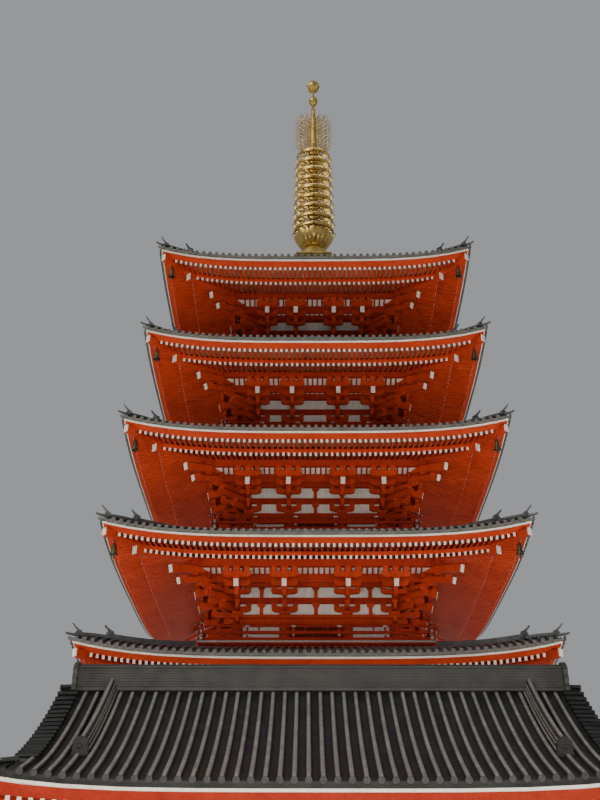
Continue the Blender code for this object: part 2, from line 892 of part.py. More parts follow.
for sx in (-1, 1):
    for sy in (-1, 1):
        x, y = sx * HALL_DESCENT_X, HALL_RIDGE_Y + sy * 4.35
        z = main_slope(x, y)
        low_y, high_y = sorted((y - sy * 0.14, y + sy * 0.10))
        box(bm, (x - 0.26, low_y, z - 0.10), (x + 0.26, high_y, z + 0.95))
combine(roof, loose(bm))
bm = bmesh.new()
ends = bmesh.new()
for sx in (-1, 1):
    for sy in (-1, 1):
        path = []
        for k in range(3):
            edge = fall - 0.10 - (fall - 0.25) * k / 2
            x, y = sx * (E - edge), HALL_RIDGE_Y + sy * (R - edge)
            path.append((x, y, skirt(x, y)))
        beam(bm, path, 0.16, -0.13, 0.36)
        x, y = sx * (E - 0.45), HALL_RIDGE_Y + sy * (R - 0.45)
        place = Matrix.Translation((x, y, skirt(x, y))) @ Matrix.Rotation(math.atan2(sy, sx), 4, "Z")
        outline(ends, [(-0.10, -0.09), (0.10, -0.09), (0.20, 0.80), (0.02, 0.80)], 0.24, place)
combine(roof, loose(bm))
combine(roof, loose(ends))
finish(roof, "hall_roof", TILE)

# the gable walls that close the upper ends
for sign, word in ((-1, "left"), (1, "right")):
    bm = bmesh.new()
    inner_fall = E - HALL_RIDGE_END
    base = hall_top(inner_fall) - 0.10
    span = R - inner_fall - 0.35
    rows = [(-span, base)]
    for k in (-0.75, -0.45, 0.0, 0.45, 0.75):
        y = k * span
        rows.append((y, main_slope(0, HALL_RIDGE_Y + y) - 0.30 - 0.02))
    rows.append((span, base))
    place = Matrix.Translation((sign * (HALL_RIDGE_END - 0.62), HALL_RIDGE_Y, 0)) @ Matrix.Rotation(math.pi / 2, 4, "Z")
    outline(bm, rows, 0.09, place)
    finish(loose(bm), f"hall_gable_{word}", PLASTER)

# rafters, ceiling and edge boards under the hall's roof, as one band round its walls
WX, WY = HALL_WALL_X, HALL_WALL_Y


def hall_ring(section, steps=((-1.0,), (-1.0,))):
    """A band round the hall's oblong plan. section(t, side) gives (x reach, y reach, z)."""
    places = [(s, t) for s in range(4) for t in steps[s % 2]]
    count = len(section(-1.0, 0))
    bpy.ops.mesh.primitive_torus_add(major_segments=len(places), minor_segments=count)
    made = bpy.context.object
    for index, vertex in enumerate(made.data.vertices):
        s, t = places[index // count]
        rx, ry, z = section(t, s)[index % count]
        x, y = ((t * rx, -ry), (rx, t * ry), (-t * rx, ry), (-rx, -t * ry))[s]
        vertex.co = (x, y + HALL_RIDGE_Y, z)
    bm = bmesh.new()
    bm.from_mesh(made.data)
    bpy.data.objects.remove(made)
    bmesh.ops.recalc_face_normals(bm, faces=bm.faces[:])
    return bm


WALL_TOP = 5.92


def hall_eave(t, side):
    rows = [
        (WX - 0.40, WY - 0.40, WALL_TOP + GAP),
        (WX + 0.30, WY + 0.30, WALL_TOP + GAP),
        (E - 0.55, R - 0.55, HALL_EAVE_Z - 0.42),
        (E - 0.50, R - 0.50, HALL_EAVE_Z - 0.22),
        (E - 0.10, R - 0.10, HALL_EAVE_Z - 0.12),
    ]
    edge_slope = 0.70 * (HALL_RIDGE_FOOT - HALL_EAVE_Z - 0.26) / R
    inner_top = hall_top(0.10) - 0.37 + edge_slope * (R - WY - 0.25)
    top = [
        (E - 0.10, R - 0.10, hall_top(0.10) - 0.37),
        (E - R + WY + 0.15, WY + 0.15, inner_top),
        (WX - 0.40, WY - 0.40, inner_top),
    ]
    out = []
    for rx, ry, z in rows + top:
        x, y = (t * rx, ry) if side % 2 == 0 else (rx, t * ry)
        out.append((rx, ry, z + hall_lift(x, y + HALL_RIDGE_Y)))
    return out


long_side = (-1.0, -0.86, -0.6, 0.0, 0.6, 0.86)
short_side = (-1.0, -0.8, -0.5, 0.5, 0.8)
finish(loose(hall_ring(hall_eave, (long_side, short_side))), "hall_eaves", VERMILION)

walls = loose(
    hall_ring(
        lambda t, s: [
            (WX - 0.50, WY - 0.50, HALL_FLOOR + GAP),
            (WX - 0.28, WY - 0.28, HALL_FLOOR + GAP),
            (WX - 0.28, WY - 0.28, WALL_TOP - 0.5),
            (WX - 0.50, WY - 0.50, WALL_TOP - 0.5),
        ]
    )
)
bm = bmesh.new()
for k in (-0.4, 0.0, 0.4):
    x = k * WX
    half = 0.2 * WX - 0.36
    box(bm, (x - half, HALL_RIDGE_Y - WY - 1, HALL_FLOOR), (x + half, HALL_RIDGE_Y - WY + 1.2, HALL_FLOOR + 3.4))
combine(walls, loose(bm), "DIFFERENCE")
bm = bmesh.new()
box(bm, (-LINK_HALF + 0.3, HALL_RIDGE_Y + WY - 1, HALL_FLOOR), (LINK_HALF - 0.3, HALL_RIDGE_Y + WY + 1, LINK_TOP - 0.4))
combine(walls, loose(bm), "DIFFERENCE")
finish(walls, "hall_walls", PLASTER)

frame = loose(
    hall_ring(
        lambda t, s: [
            (WX - 0.262, WY - 0.262, WALL_TOP - 0.55),
            (WX + 0.28, WY + 0.28, WALL_TOP - 0.55),
            (WX + 0.28, WY + 0.28, WALL_TOP),
            (WX - 0.262, WY - 0.262, WALL_TOP),
        ]
    )
)
bm = bmesh.new()
for sign in (-1, 1):
    for k in (-1.0, -0.6, -0.2, 0.2, 0.6, 1.0):
        if sign > 0 and abs(k) < 0.5:
            x = math.copysign(LINK_HALF + 0.35, k)
        else:
            x = k * WX
        drum(bm, (x, HALL_RIDGE_Y + sign * WY, 0), 0.24, 0.24, HALL_FLOOR + GAP, WALL_TOP - 0.4, 8, math.pi / 8)
combine(frame, loose(bm))
bm = bmesh.new()
for k in (-0.4, 0.0, 0.4):
    x, half = k * WX, 0.2 * WX - 0.05
    box(bm, (x - half, HALL_RIDGE_Y - WY - 0.12, HALL_FLOOR + 3.45), (x + half, HALL_RIDGE_Y - WY + 0.12, HALL_FLOOR + 3.75))
combine(frame, loose(bm))
finish(frame, "hall_frame", VERMILION)

bm = bmesh.new()
box(bm, (-LINK_HALF, HALL_RIDGE_Y + WY - 0.27, HALL_FLOOR + GAP), (LINK_HALF, -P + 0.215, LINK_TOP))
link = loose(bm)
bm = bmesh.new()
box(bm, (-LINK_HALF + 0.3, HALL_RIDGE_Y, HALL_FLOOR - 1), (LINK_HALF - 0.3, 0, LINK_TOP - 0.4))
combine(link, loose(bm), "DIFFERENCE")
finish(link, "hall_passage", PLASTER)

bm = bmesh.new()
box(bm, (-WX - 1.3, HALL_RIDGE_Y - WY - 1.3, 0), (WX + 1.3, -P - GAP, HALL_FLOOR))
hall_base = loose(bm)
bm = bmesh.new()
reach = HALL_RIDGE_Y - WY - 1.7
box(bm, (-4.4, reach, 0), (4.4, HALL_RIDGE_Y, HALL_FLOOR / 2))
combine(hall_base, loose(bm))
finish(hall_base, "hall_floor", STONE)
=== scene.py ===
import math

import bmesh
import bpy
import numpy as np
from mathutils import Euler, Matrix, Vector


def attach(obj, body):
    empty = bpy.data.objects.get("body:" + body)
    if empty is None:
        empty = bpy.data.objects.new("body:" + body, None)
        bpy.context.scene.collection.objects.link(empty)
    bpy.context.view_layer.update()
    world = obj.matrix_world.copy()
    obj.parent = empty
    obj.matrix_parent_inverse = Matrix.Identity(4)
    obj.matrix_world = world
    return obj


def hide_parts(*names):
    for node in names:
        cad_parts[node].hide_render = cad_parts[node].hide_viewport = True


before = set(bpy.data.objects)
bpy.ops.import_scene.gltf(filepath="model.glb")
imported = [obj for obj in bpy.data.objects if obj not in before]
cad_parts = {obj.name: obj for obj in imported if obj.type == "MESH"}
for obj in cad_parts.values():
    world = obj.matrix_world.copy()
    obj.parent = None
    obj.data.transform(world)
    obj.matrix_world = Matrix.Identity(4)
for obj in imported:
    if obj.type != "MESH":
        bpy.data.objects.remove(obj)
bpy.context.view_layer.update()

# The part is a 1:2 scale model. All the sizes below are the real building's, in metres,
# with z = 0 on the ground and the tower's axis on the Z axis. Shape.piece() scales them.
S = 0.5

HALF_WALL = [4.10, 3.66, 3.28, 2.92, 2.52]
HALF_EAVE = [9.93, 9.30, 8.82, 8.22, 7.82]
EAVE_Z = [13.03, 18.47, 23.68, 28.82, 33.86]
INNER_COLUMN = 0.40
BALCONY_OUT = 1.68
BALCONY_RISE = 1.89
CORNER_RISE = 0.65
CORNER_POWER = 3.8
ROOF_AT_BALCONY = 1.62
ROOF_APEX = 38.20
TOWER_FLOOR = 5.9
TILE_OVERHANG = 0.12
HALL_FRONT_START = -24.40
RAFTER_SLOPE = 0.35
FLYING_SLOPE = 0.155
RAFTER_GAP = 0.2525
TILE_GAP = 0.33

PODIUM_HALF, PODIUM_HEIGHT, TOWER_BASE_HALF = 12.0, 5.0, 6.2
HALL_RIDGE_Y, HALL_RUN, HALL_EAVE_Z = -18.6, 6.1, 5.82
HALL_RIDGE_FOOT, HALL_RIDGE_TALL, HALL_CORNER_RISE = 9.72, 0.86, 0.50
HALL_GABLE_X, HALL_EAVE_X, HALL_DESCENT_X, HALL_RIDGE_END = 8.20, 9.45, 6.62, 7.88
HALL_WALL_X, HALL_WALL_Y, HALL_FLOOR, WALL_TOP = 7.3, 4.0, 0.35, 5.92
HALL_TILE_GAP = 0.368
LINK_HALF, LINK_TOP = 2.6, 4.3

UP = np.array([0.0, 0.0, 1.0])


# ------------------------------------------------------------------ materials
def shader_nodes(name):
    made = bpy.data.materials.new(name)
    made.use_nodes = True
    tree = made.node_tree
    shader = tree.nodes["Principled BSDF"]
    return made, tree, shader


def link(tree, a, b):
    tree.links.new(a, b)


def coords(tree, scale=(1, 1, 1)):
    place = tree.nodes.new("ShaderNodeTexCoord")
    mapping = tree.nodes.new("ShaderNodeMapping")
    mapping.inputs["Scale"].default_value = scale
    link(tree, place.outputs["Object"], mapping.inputs["Vector"])
    return mapping.outputs["Vector"]


def noise(tree, vector, scale, detail=4.0, rough=0.55):
    made = tree.nodes.new("ShaderNodeTexNoise")
    made.inputs["Scale"].default_value = scale
    made.inputs["Detail"].default_value = detail
    made.inputs["Roughness"].default_value = rough
    link(tree, vector, made.inputs["Vector"])
    return made.outputs["Fac"]


def ramp(tree, value, stops):
    made = tree.nodes.new("ShaderNodeValToRGB")
    elements = made.color_ramp.elements
    while len(elements) < len(stops):
        elements.new(0.5)
    for element, (place, colour) in zip(elements, stops):
        element.position = place
        element.color = (*colour, 1.0)
    link(tree, value, made.inputs["Fac"])
    return made.outputs["Color"]


def mix(tree, a, b, share, mode="MIX"):
    made = tree.nodes.new("ShaderNodeMix")
    made.data_type = "RGBA"
    made.blend_type = mode
    for socket, value in (("A", a), ("B", b)):
        found = [s for s in made.inputs if s.name == socket and s.type == "RGBA"][0]
        if isinstance(value, tuple):
            found.default_value = (*value, 1.0)
        else:
            link(tree, value, found)
    if isinstance(share, float):
        made.inputs["Factor"].default_value = share
    else:
        link(tree, share, made.inputs["Factor"])
    return [s for s in made.outputs if s.type == "RGBA"][0]


def math_node(tree, operation, a, b=None):
    made = tree.nodes.new("ShaderNodeMath")
    made.operation = operation
    for index, value in enumerate((a, b)):
        if value is None:
            continue
        if isinstance(value, (int, float)):
            made.inputs[index].default_value = value
        else:
            link(tree, value, made.inputs[index])
    return made.outputs[0]


def spread(tree, value, low, high):
    made = tree.nodes.new("ShaderNodeMapRange")
    made.inputs["To Min"].default_value = low
    made.inputs["To Max"].default_value = high
    link(tree, value, made.inputs["Value"])
    return made.outputs["Result"]


def bump(tree, shader, height, strength, distance):
    made = tree.nodes.new("ShaderNodeBump")
    made.inputs["Strength"].default_value = strength
    made.inputs["Distance"].default_value = distance
    link(tree, height, made.inputs["Height"])
    link(tree, made.outputs["Normal"], shader.inputs["Normal"])


def painted(name, light, dark, grime, rough=(0.50, 0.70), scale=1.0, sheen=0.03):
    """Brushed paint: slow changes of tone, faint brush marks, and grime in patches."""
    made, tree, shader = shader_nodes(name)
    at = coords(tree)
    slow = noise(tree, at, 1.6 * scale, 3.0)
    fine = noise(tree, coords(tree, (1, 1, 0.18)), 26.0 * scale, 5.0, 0.65)
    tone = ramp(tree, slow, [(0.30, dark), (0.72, light)])
    wear_and_crest_shade = ramp(tree, fine, [(0.34, tuple(0.62 * c for c in dark)), (0.62, light)])
    colour = mix(tree, tone, wear_and_crest_shade, 0.35)
    dirt = noise(tree, coords(tree, (1, 1, 0.35)), 5.0 * scale, 6.0, 0.7)
    mask = ramp(tree, dirt, [(0.50, (0, 0, 0)), (0.78, (1, 1, 1))])
    share = math_node(tree, "MULTIPLY", mask, 0.42)
    link(tree, mix(tree, colour, grime, share), shader.inputs["Base Color"])
    link(tree, spread(tree, fine, *rough), shader.inputs["Roughness"])
    shader.inputs["Specular IOR Level"].default_value = sheen
    bump(tree, shader, fine, 0.22, 0.004)
    return made


def tile_look(name, light, dark, joint, axis_y=None, painted_crest_highlight=False):
    """Cast roof tiles: each tile its own tone, a joint at each tile's end, and a dry
    weathered bloom. The joints run across the slope, at equal steps out from the ridge."""
    made, tree, shader = shader_nodes(name)
    place = tree.nodes.new("ShaderNodeTexCoord")
    split = tree.nodes.new("ShaderNodeSeparateXYZ")
    link(tree, place.outputs["Object"], split.inputs["Vector"])
    x, y = split.outputs["X"], split.outputs["Y"]
    if axis_y is not None:
        y = math_node(tree, "SUBTRACT", y, axis_y)
        reach = math_node(tree, "ABSOLUTE", y)
        across = x
    else:
        ax, ay = math_node(tree, "ABSOLUTE", x), math_node(tree, "ABSOLUTE", y)
        reach = math_node(tree, "MAXIMUM", ax, ay)
        across = math_node(tree, "MINIMUM", ax, ay)
    steps = math_node(tree, "DIVIDE", reach, joint)
    cell = math_node(tree, "FLOOR", steps)
    inside = math_node(tree, "FRACT", steps)
    column = math_node(tree, "FLOOR", math_node(tree, "DIVIDE", across, TILE_GAP * S))
    both = tree.nodes.new("ShaderNodeCombineXYZ")
    link(tree, cell, both.inputs["X"])
    link(tree, column, both.inputs["Y"])
    speckle = tree.nodes.new("ShaderNodeTexWhiteNoise")
    link(tree, both.outputs["Vector"], speckle.inputs["Vector"])
    each = spread(tree, speckle.outputs["Value"], 0.0, 1.0)
    tone = mix(tree, dark, light, each)
    at = coords(tree)
    bloom = noise(tree, at, 3.2, 6.0, 0.7)
    tone = mix(tree, tone, ramp(tree, bloom, [(0.35, dark), (0.75, light)]), 0.45)
    edge = ramp(tree, inside, [(0.0, (0, 0, 0)), (0.07, (1, 1, 1)), (0.93, (1, 1, 1)), (1.0, (0.2, 0.2, 0.2))])
    colour = mix(tree, tone, edge, 0.55, "MULTIPLY")
    if painted_crest_highlight:
        # painted highlight and shade: the up-facing crest of each row stays pale as painted light from above, and the
        # flanks are darkened as painted shade
        facing = tree.nodes.new("ShaderNodeSeparateXYZ")
        link(tree, place.outputs["Normal"], facing.inputs["Vector"])
        wear_and_crest_shade = ramp(tree, facing.outputs["Z"], [(0.56, (0.07, 0.07, 0.07)), (0.78, (1, 1, 1))])
        colour = mix(tree, colour, wear_and_crest_shade, 0.95, "MULTIPLY")
    link(tree, colour, shader.inputs["Base Color"])
    grain = noise(tree, at, 60.0, 4.0)
    link(tree, spread(tree, bloom, 0.42, 0.66), shader.inputs["Roughness"])
    shader.inputs["Metallic"].default_value = 0.45
    height = math_node(tree, "ADD", edge, math_node(tree, "MULTIPLY", grain, 0.25))
    bump(tree, shader, height, 0.55, 0.006)
    return made


def metal(name, bright, dark, patina, rough=(0.24, 0.5), metallic=1.0, share=0.5):
    made, tree, shader = shader_nodes(name)
    at = coords(tree)
    slow = noise(tree, at, 4.0, 5.0, 0.6)
    fine = noise(tree, at, 38.0, 5.0, 0.7)
    colour = ramp(tree, slow, [(0.28, dark), (0.66, bright)])
    mask = ramp(tree, fine, [(0.48, (0, 0, 0)), (0.74, (1, 1, 1))])
    colour = mix(tree, colour, patina, math_node(tree, "MULTIPLY", mask, share))
    link(tree, colour, shader.inputs["Base Color"])
    shader.inputs["Metallic"].default_value = metallic
    link(tree, spread(tree, slow, *rough), shader.inputs["Roughness"])
    bump(tree, shader, fine, 0.25, 0.004)
    return made


def stone(name, light, dark, course, width):
    """Granite in courses: speckle, a tone for each block, and fine joints."""
    made, tree, shader = shader_nodes(name)
    place = tree.nodes.new("ShaderNodeTexCoord")
    split = tree.nodes.new("ShaderNodeSeparateXYZ")
    link(tree, place.outputs["Object"], split.inputs["Vector"])
    both = tree.nodes.new("ShaderNodeCombineXYZ")
    link(tree, math_node(tree, "ADD", split.outputs["X"], split.outputs["Y"]), both.inputs["X"])
    link(tree, split.outputs["Z"], both.inputs["Y"])
    brick = tree.nodes.new("ShaderNodeTexBrick")
    brick.inputs["Color1"].default_value = (*light, 1)
    brick.inputs["Color2"].default_value = (*tuple(0.84 * c for c in light), 1)
    brick.inputs["Mortar"].default_value = (*dark, 1)
    brick.inputs["Scale"].default_value = 1.0
    brick.inputs["Mortar Size"].default_value = 0.006
    brick.inputs["Brick Width"].default_value = width
    brick.inputs["Row Height"].default_value = course
    link(tree, both.outputs["Vector"], brick.inputs["Vector"])
    at = coords(tree)
    speck = noise(tree, at, 120.0, 3.0, 0.8)
    cloud = noise(tree, at, 1.4, 4.0)
    colour = mix(tree, brick.outputs["Color"], ramp(tree, speck, [(0.36, dark), (0.60, light)]), 0.35)
    colour = mix(tree, colour, ramp(tree, cloud, [(0.3, dark), (0.7, light)]), 0.22)
    link(tree, colour, shader.inputs["Base Color"])
    link(tree, spread(tree, cloud, 0.7, 0.9), shader.inputs["Roughness"])
    height = math_node(tree, "SUBTRACT", math_node(tree, "MULTIPLY", speck, 0.3), brick.outputs["Fac"])
    bump(tree, shader, height, 0.4, 0.006)
    return made


RED = painted("vermilion", (0.56, 0.062, 0.022), (0.42, 0.038, 0.016), (0.13, 0.022, 0.014))
RED_DEEP = painted("vermilion_shaded", (0.42, 0.042, 0.020), (0.30, 0.026, 0.014), (0.09, 0.016, 0.012))
DOOR = painted("door_boards", (0.20, 0.030, 0.020), (0.12, 0.018, 0.013), (0.04, 0.012, 0.010))
WHITE = painted("white_paint", (0.86, 0.80, 0.70), (0.74, 0.67, 0.57), (0.46, 0.37, 0.28), (0.5, 0.75))
# soffit boards: white boards with an orange cast painted in, standing for light bounced off the red rafters
SOFFIT = painted("soffit_boards", (0.83, 0.47, 0.30), (0.72, 0.37, 0.22), (0.36, 0.13, 0.06), (0.5, 0.75))
PLASTER = painted("plaster", (0.82, 0.77, 0.70), (0.70, 0.64, 0.57), (0.48, 0.40, 0.33), (0.7, 0.92), 0.6)
TILE = tile_look("roof_tiles", (0.150, 0.160, 0.160), (0.070, 0.076, 0.078), 0.155)
# the hall's cover tiles: their warm pale tone is partly painted light from above, and the crest ramp adds a painted
# highlight on top and painted shade on the flanks
TILE_HALL = tile_look("hall_tiles", (0.34, 0.31, 0.275), (0.20, 0.182, 0.160), 0.17, HALL_RIDGE_Y * S, True)
# painted shade: the hall's pan tiles, their lips, the verge tiles, the descending ridges' end tiles and the tile seat
# are near-black for the shade between the rows and under the eave, though they are the same tiles as the covers
TILE_PANS_SHADED = tile_look("hall_pan_tiles", (0.030, 0.030, 0.028), (0.012, 0.013, 0.012), 0.17, HALL_RIDGE_Y * S)
RIDGE = metal("ridge_tiles", (0.135, 0.140, 0.138), (0.060, 0.064, 0.066), (0.20, 0.20, 0.18), (0.45, 0.7), 0.4, 0.4)
RIDGE_HALL = metal("hall_ridge_tiles", (0.050, 0.048, 0.043), (0.022, 0.022, 0.020), (0.09, 0.075, 0.065), (0.5, 0.75), 0.25, 0.35)
CAPS = metal("tile_ends", (0.150, 0.143, 0.124), (0.085, 0.082, 0.073), (0.195, 0.184, 0.155), (0.5, 0.7), 0.1, 0.4)
# painted shade: the hall's tile ends are far darker than its cover tiles, for the shade along the eave's front
CAPS_HALL_SHADED = metal("hall_tile_ends", (0.060, 0.058, 0.053), (0.030, 0.030, 0.028), (0.10, 0.095, 0.085), (0.5, 0.7), 0.0, 0.4)
for look in (TILE_PANS_SHADED, CAPS_HALL_SHADED):
    body = look.node_tree.nodes["Principled BSDF"]
    body.inputs["Metallic"].default_value = 0.0
    body.inputs["Specular IOR Level"].default_value = 0.18
GOLD = metal("gilding", (0.78, 0.55, 0.17), (0.46, 0.30, 0.08), (0.20, 0.15, 0.07), (0.25, 0.48), 1.0, 0.55)
BRONZE = metal("dark_bronze", (0.16, 0.12, 0.07), (0.06, 0.05, 0.035), (0.10, 0.16, 0.12), (0.35, 0.6), 1.0, 0.4)
SILVER = metal("rail_fittings", (0.48, 0.46, 0.42), (0.26, 0.24, 0.21), (0.18, 0.16, 0.12), (0.3, 0.5), 1.0, 0.4)
GREY = painted("grey_edging", (0.46, 0.45, 0.42), (0.34, 0.33, 0.31), (0.16, 0.14, 0.12), (0.5, 0.75))
GRANITE = stone("granite_blocks", (0.52, 0.51, 0.48), (0.26, 0.25, 0.24), 0.30, 0.75)
PAVING = stone("granite_slabs", (0.56, 0.55, 0.52), (0.30, 0.29, 0.28), 0.45, 0.9)


# ------------------------------------------------------------------ shapes
def turned4(points):
    """The same points at the four sides of the tower."""
    out = []
    for s in range(4):
        c, d = round(math.cos(s * math.pi / 2)), round(math.sin(s * math.pi / 2))
        turned = points.copy()
        turned[:, 0] = c * points[:, 0] - d * points[:, 1]
        turned[:, 1] = d * points[:, 0] + c * points[:, 1]
        out.append(turned)
    return out


class Shape:
    """Points and faces of one piece, in the real building's metres."""

    def __init__(self, name, look, slot, *nodes):
        self.name, self.look, self.slot, self.nodes = name, look, slot, nodes
        self.points, self.faces, self.count = [], [], 0

    def add(self, points, faces, four=True):
        points = np.asarray(points, float)
        for placed in turned4(points) if four else [points]:
            self.points.append(placed)
            self.faces.extend([tuple(i + self.count for i in f) for f in faces])
            self.count += len(placed)

    def loft(self, sections, closed=True, caps=True, four=True):
        """Skin over sections, an array of (rings, points in a ring, 3)."""
        sections = np.asarray(sections, float)
        rings, around = sections.shape[:2]
        faces = []
        last = around if closed else around - 1
        for k in range(rings - 1):
            for m in range(last):
                n = (m + 1) % around
                faces.append((k * around + m, k * around + n, (k + 1) * around + n, (k + 1) * around + m))
        if caps and closed:
            faces.append(tuple(range(around))[::-1])
            faces.append(tuple((rings - 1) * around + m for m in range(around)))
        self.add(sections.reshape(-1, 3), faces, four)

    def box(self, low, high, four=True, at=None):
        x0, y0, z0 = low
        x1, y1, z1 = high
        points = np.array(
            [(x, y, z) for z in (z0, z1) for x, y in ((x0, y0), (x1, y0), (x1, y1), (x0, y1))], float
        )
        if at is not None:
            points = at(points)
        faces = [(3, 2, 1, 0), (4, 5, 6, 7), (0, 1, 5, 4), (1, 2, 6, 5), (2, 3, 7, 6), (3, 0, 4, 7)]
        self.add(points, faces, four)

    def prism(self, outline, low, high, frame3, four=True):
        """outline (p, q) pushed from low to high along the third axis of frame3, which is
        (origin, p axis, q axis, push axis)."""
        origin, p, q, d = (np.asarray(v, float) for v in frame3)
        flat = np.asarray(outline, float)
        ring = origin + flat[:, :1] * p + flat[:, 1:] * q
        self.loft(np.stack([ring + low * d, ring + high * d]), four=four)

    def drum(self, centre, profile, segments=20, four=True, axes=None):
        """A turned shape: profile is (radius, height) along the axis."""
        u, v, w = axes or (np.array([1.0, 0, 0]), np.array([0, 1.0, 0]), UP)
        centre = np.asarray(centre, float)
        angle = np.arange(segments) * 2 * math.pi / segments
        rings = []
        for radius, height in profile:
            rings.append(
                centre
                + radius * (np.cos(angle)[:, None] * u + np.sin(angle)[:, None] * v)
                + height * w
            )
        self.loft(np.stack(rings), four=four)

    def tube(self, path, radii, segments=8, four=True, flat=1.0):
        """A round bar along path."""
        path = np.asarray(path, float)
        radii = np.broadcast_to(np.asarray(radii, float), (len(path),))
        rings = []
        for k, p in enumerate(path):
            ahead = path[min(k + 1, len(path) - 1)] - path[max(k - 1, 0)]
            ahead = ahead / (np.linalg.norm(ahead) + 1e-12)
            side = np.cross(ahead, UP)
            if np.linalg.norm(side) < 1e-6:
                side = np.array([1.0, 0, 0])
            side = side / np.linalg.norm(side)
            over = np.cross(side, ahead)
            angle = np.arange(segments) * 2 * math.pi / segments
            rings.append(
                p
                + radii[k] * (np.cos(angle)[:, None] * side * flat + np.sin(angle)[:, None] * over)
            )
        self.loft(np.stack(rings), four=four)

    def piece(self, smooth=True, angle=38.0):
        if not self.points:
            return None
        points = np.concatenate(self.points)
        # the hall's front tiles end flush with the front of its eave
        front = points[:, 1] < HALL_FRONT_START
        points[front, 1] = HALL_FRONT_START + 0.76 * (points[front, 1] - HALL_FRONT_START)
        points = points * S
        mesh = bpy.data.meshes.new(self.name)
        mesh.from_pydata(points.tolist(), [], self.faces)
        bm = bmesh.new()
        bm.from_mesh(mesh)
        bmesh.ops.recalc_face_normals(bm, faces=bm.faces[:])
        bm.to_mesh(mesh)
        bm.free()
        made = bpy.data.objects.new(self.name, mesh)
        bpy.context.scene.collection.objects.link(made)
        mesh.materials.append(self.look)
        if smooth:
            mesh.shade_smooth()
            mesh.set_sharp_from_angle(angle=math.radians(angle))
        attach(made, "root")
        if self.nodes:
            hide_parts(*self.nodes)
        return made


# ------------------------------------------------------------------ tower surfaces
def floor_of(n):
    return TOWER_FLOOR if n == 0 else EAVE_Z[n - 1] + BALCONY_RISE


def balcony_half(n):
    return HALF_WALL[n] + BALCONY_OUT


def lift(n, r, t):
    a = HALF_EAVE[n]
    start = balcony_half(n + 1) if n < 4 else HALF_WALL[n]
    reach = np.maximum(0.0, (np.asarray(r, float) - start) / (a - start))
    return CORNER_RISE * reach**1.5 * np.minimum(np.abs(t), 1.02) ** CORNER_POWER


def roof_top(n, r):
    r = np.asarray(r, float)
    outer = HALF_EAVE[n] + TILE_OVERHANG
    drop = 0.155 * np.clip((r - outer + 1.1) / 1.1, 0.0, 1.0) ** 1.4
    if n == 4:
        x = np.maximum(outer - r, 0)
        full = outer - 0.95
        rest = (ROOF_APEX - EAVE_Z[4]) - 0.30 - 0.30 * full
        return 0.30 + 0.30 * x + rest * (x / full) ** 2.2 - drop
    inner = balcony_half(n + 1)
    q = np.minimum((outer - r) / (outer - inner), 1.0)
    return 0.30 + (ROOF_AT_BALCONY - 0.30) * (0.75 * q + 0.25 * np.abs(q) * q) - drop


def tiled(n, x, r):
    """Height of the tiled surface at x along the front side and r out from the axis."""
    return EAVE_Z[n] + roof_top(n, r) + lift(n, r, np.asarray(x) / np.asarray(r))


def base_low(n, r):
    """Underside of the base rafters, above the eave line."""
    return -0.605 + RAFTER_SLOPE * (HALF_EAVE[n] - 1.45 - np.asarray(r, float))


def flying_low(n, r):
    """Underside of the flying rafters, above the eave line."""
    return -0.445 + FLYING_SLOPE * (HALF_EAVE[n] - 0.35 - np.asarray(r, float))


STATIONS = np.concatenate([-np.cos(np.linspace(0, math.pi, 19))])


def band(shape, section, n=None):
    """A board or beam that runs round the four sides with mitred corners. section is
    [(r, z above the eave line)], and it turns up with storey n's eave."""
    ring = []
    for t in STATIONS:
        ring.append([(t * r, -r, z + (lift(n, r, t) if n is not None else 0.0)) for r, z in section])
    shape.loft(np.array(ring), caps=False)


def level_band(shape, r0, r1, z0, z1):
    ring = [[(t * r, -r, z) for r, z in ((r0, z0), (r1, z0), (r1, z1), (r0, z1))] for t in (-1.0, 1.0)]
    shape.loft(np.array(ring), caps=False)


# ------------------------------------------------------------------ roofs
ARC = np.linspace(0, math.pi, 6)


def cover_row(shape, line, side, radius=0.078, four=True):
    """A row of half-round cover tiles along line, a run of points up the roof."""
    side = np.asarray(side, float)
    ring = line[:, None, :] + radius * (np.cos(ARC)[None, :, None] * side + 1.05 * np.sin(ARC)[None, :, None] * UP)
    shape.loft(ring, four=four)


def pan_row(shape, line, side, gap, four=True):
    """The dished tiles between two rows of cover tiles."""
    side = np.asarray(side, float)
    across = np.array([-0.5, -0.22, 0.22, 0.5]) * (gap - 0.02)
    dip = np.array([0.0, -0.045, -0.045, 0.0])
    ring = line[:, None, :] + across[None, :, None] * side + dip[None, :, None] * UP
    shape.loft(ring, closed=False, four=four)


def end_disc(shape, x, r, z, radius=0.088, segments=10, out=(0, -1, 0), four=True):
    """The round end of a row of cover tiles: a raised rim round a sunk face with a boss."""
    w = np.asarray(out, float)
    u, v = np.array([-w[1], w[0], 0.0]), UP
    centre = (x, -r, z) if r is not None else x
    shape.drum(
        centre,
        [(radius, -0.05), (radius, 0.0), (0.80 * radius, 0.0), (0.74 * radius, -0.014), (0.30 * radius, -0.014), (0.22 * radius, -0.002)],
        segments,
        four,
        axes=(u, v, w),
    )


def hip_path(n, first, last, count, rise=0.0):
    out = []
    for k in range(count):
        r = first + (last - first) * k / (count - 1)
        out.append((-r, -r, float(tiled(n, -r, r)) + rise))
    return np.array(out)


def swept(shape, path, section, four=True):
    """section [(across, up)] carried upright along path."""
    path = np.asarray(path, float)
    along = path[-1] - path[0]
    along[2] = 0
    along /= np.linalg.norm(along)
    side = np.array([-along[1], along[0], 0.0])
    rings = [[p + side * a + UP * h for a, h in section] for p in path]
    shape.loft(np.array(rings), four=four)


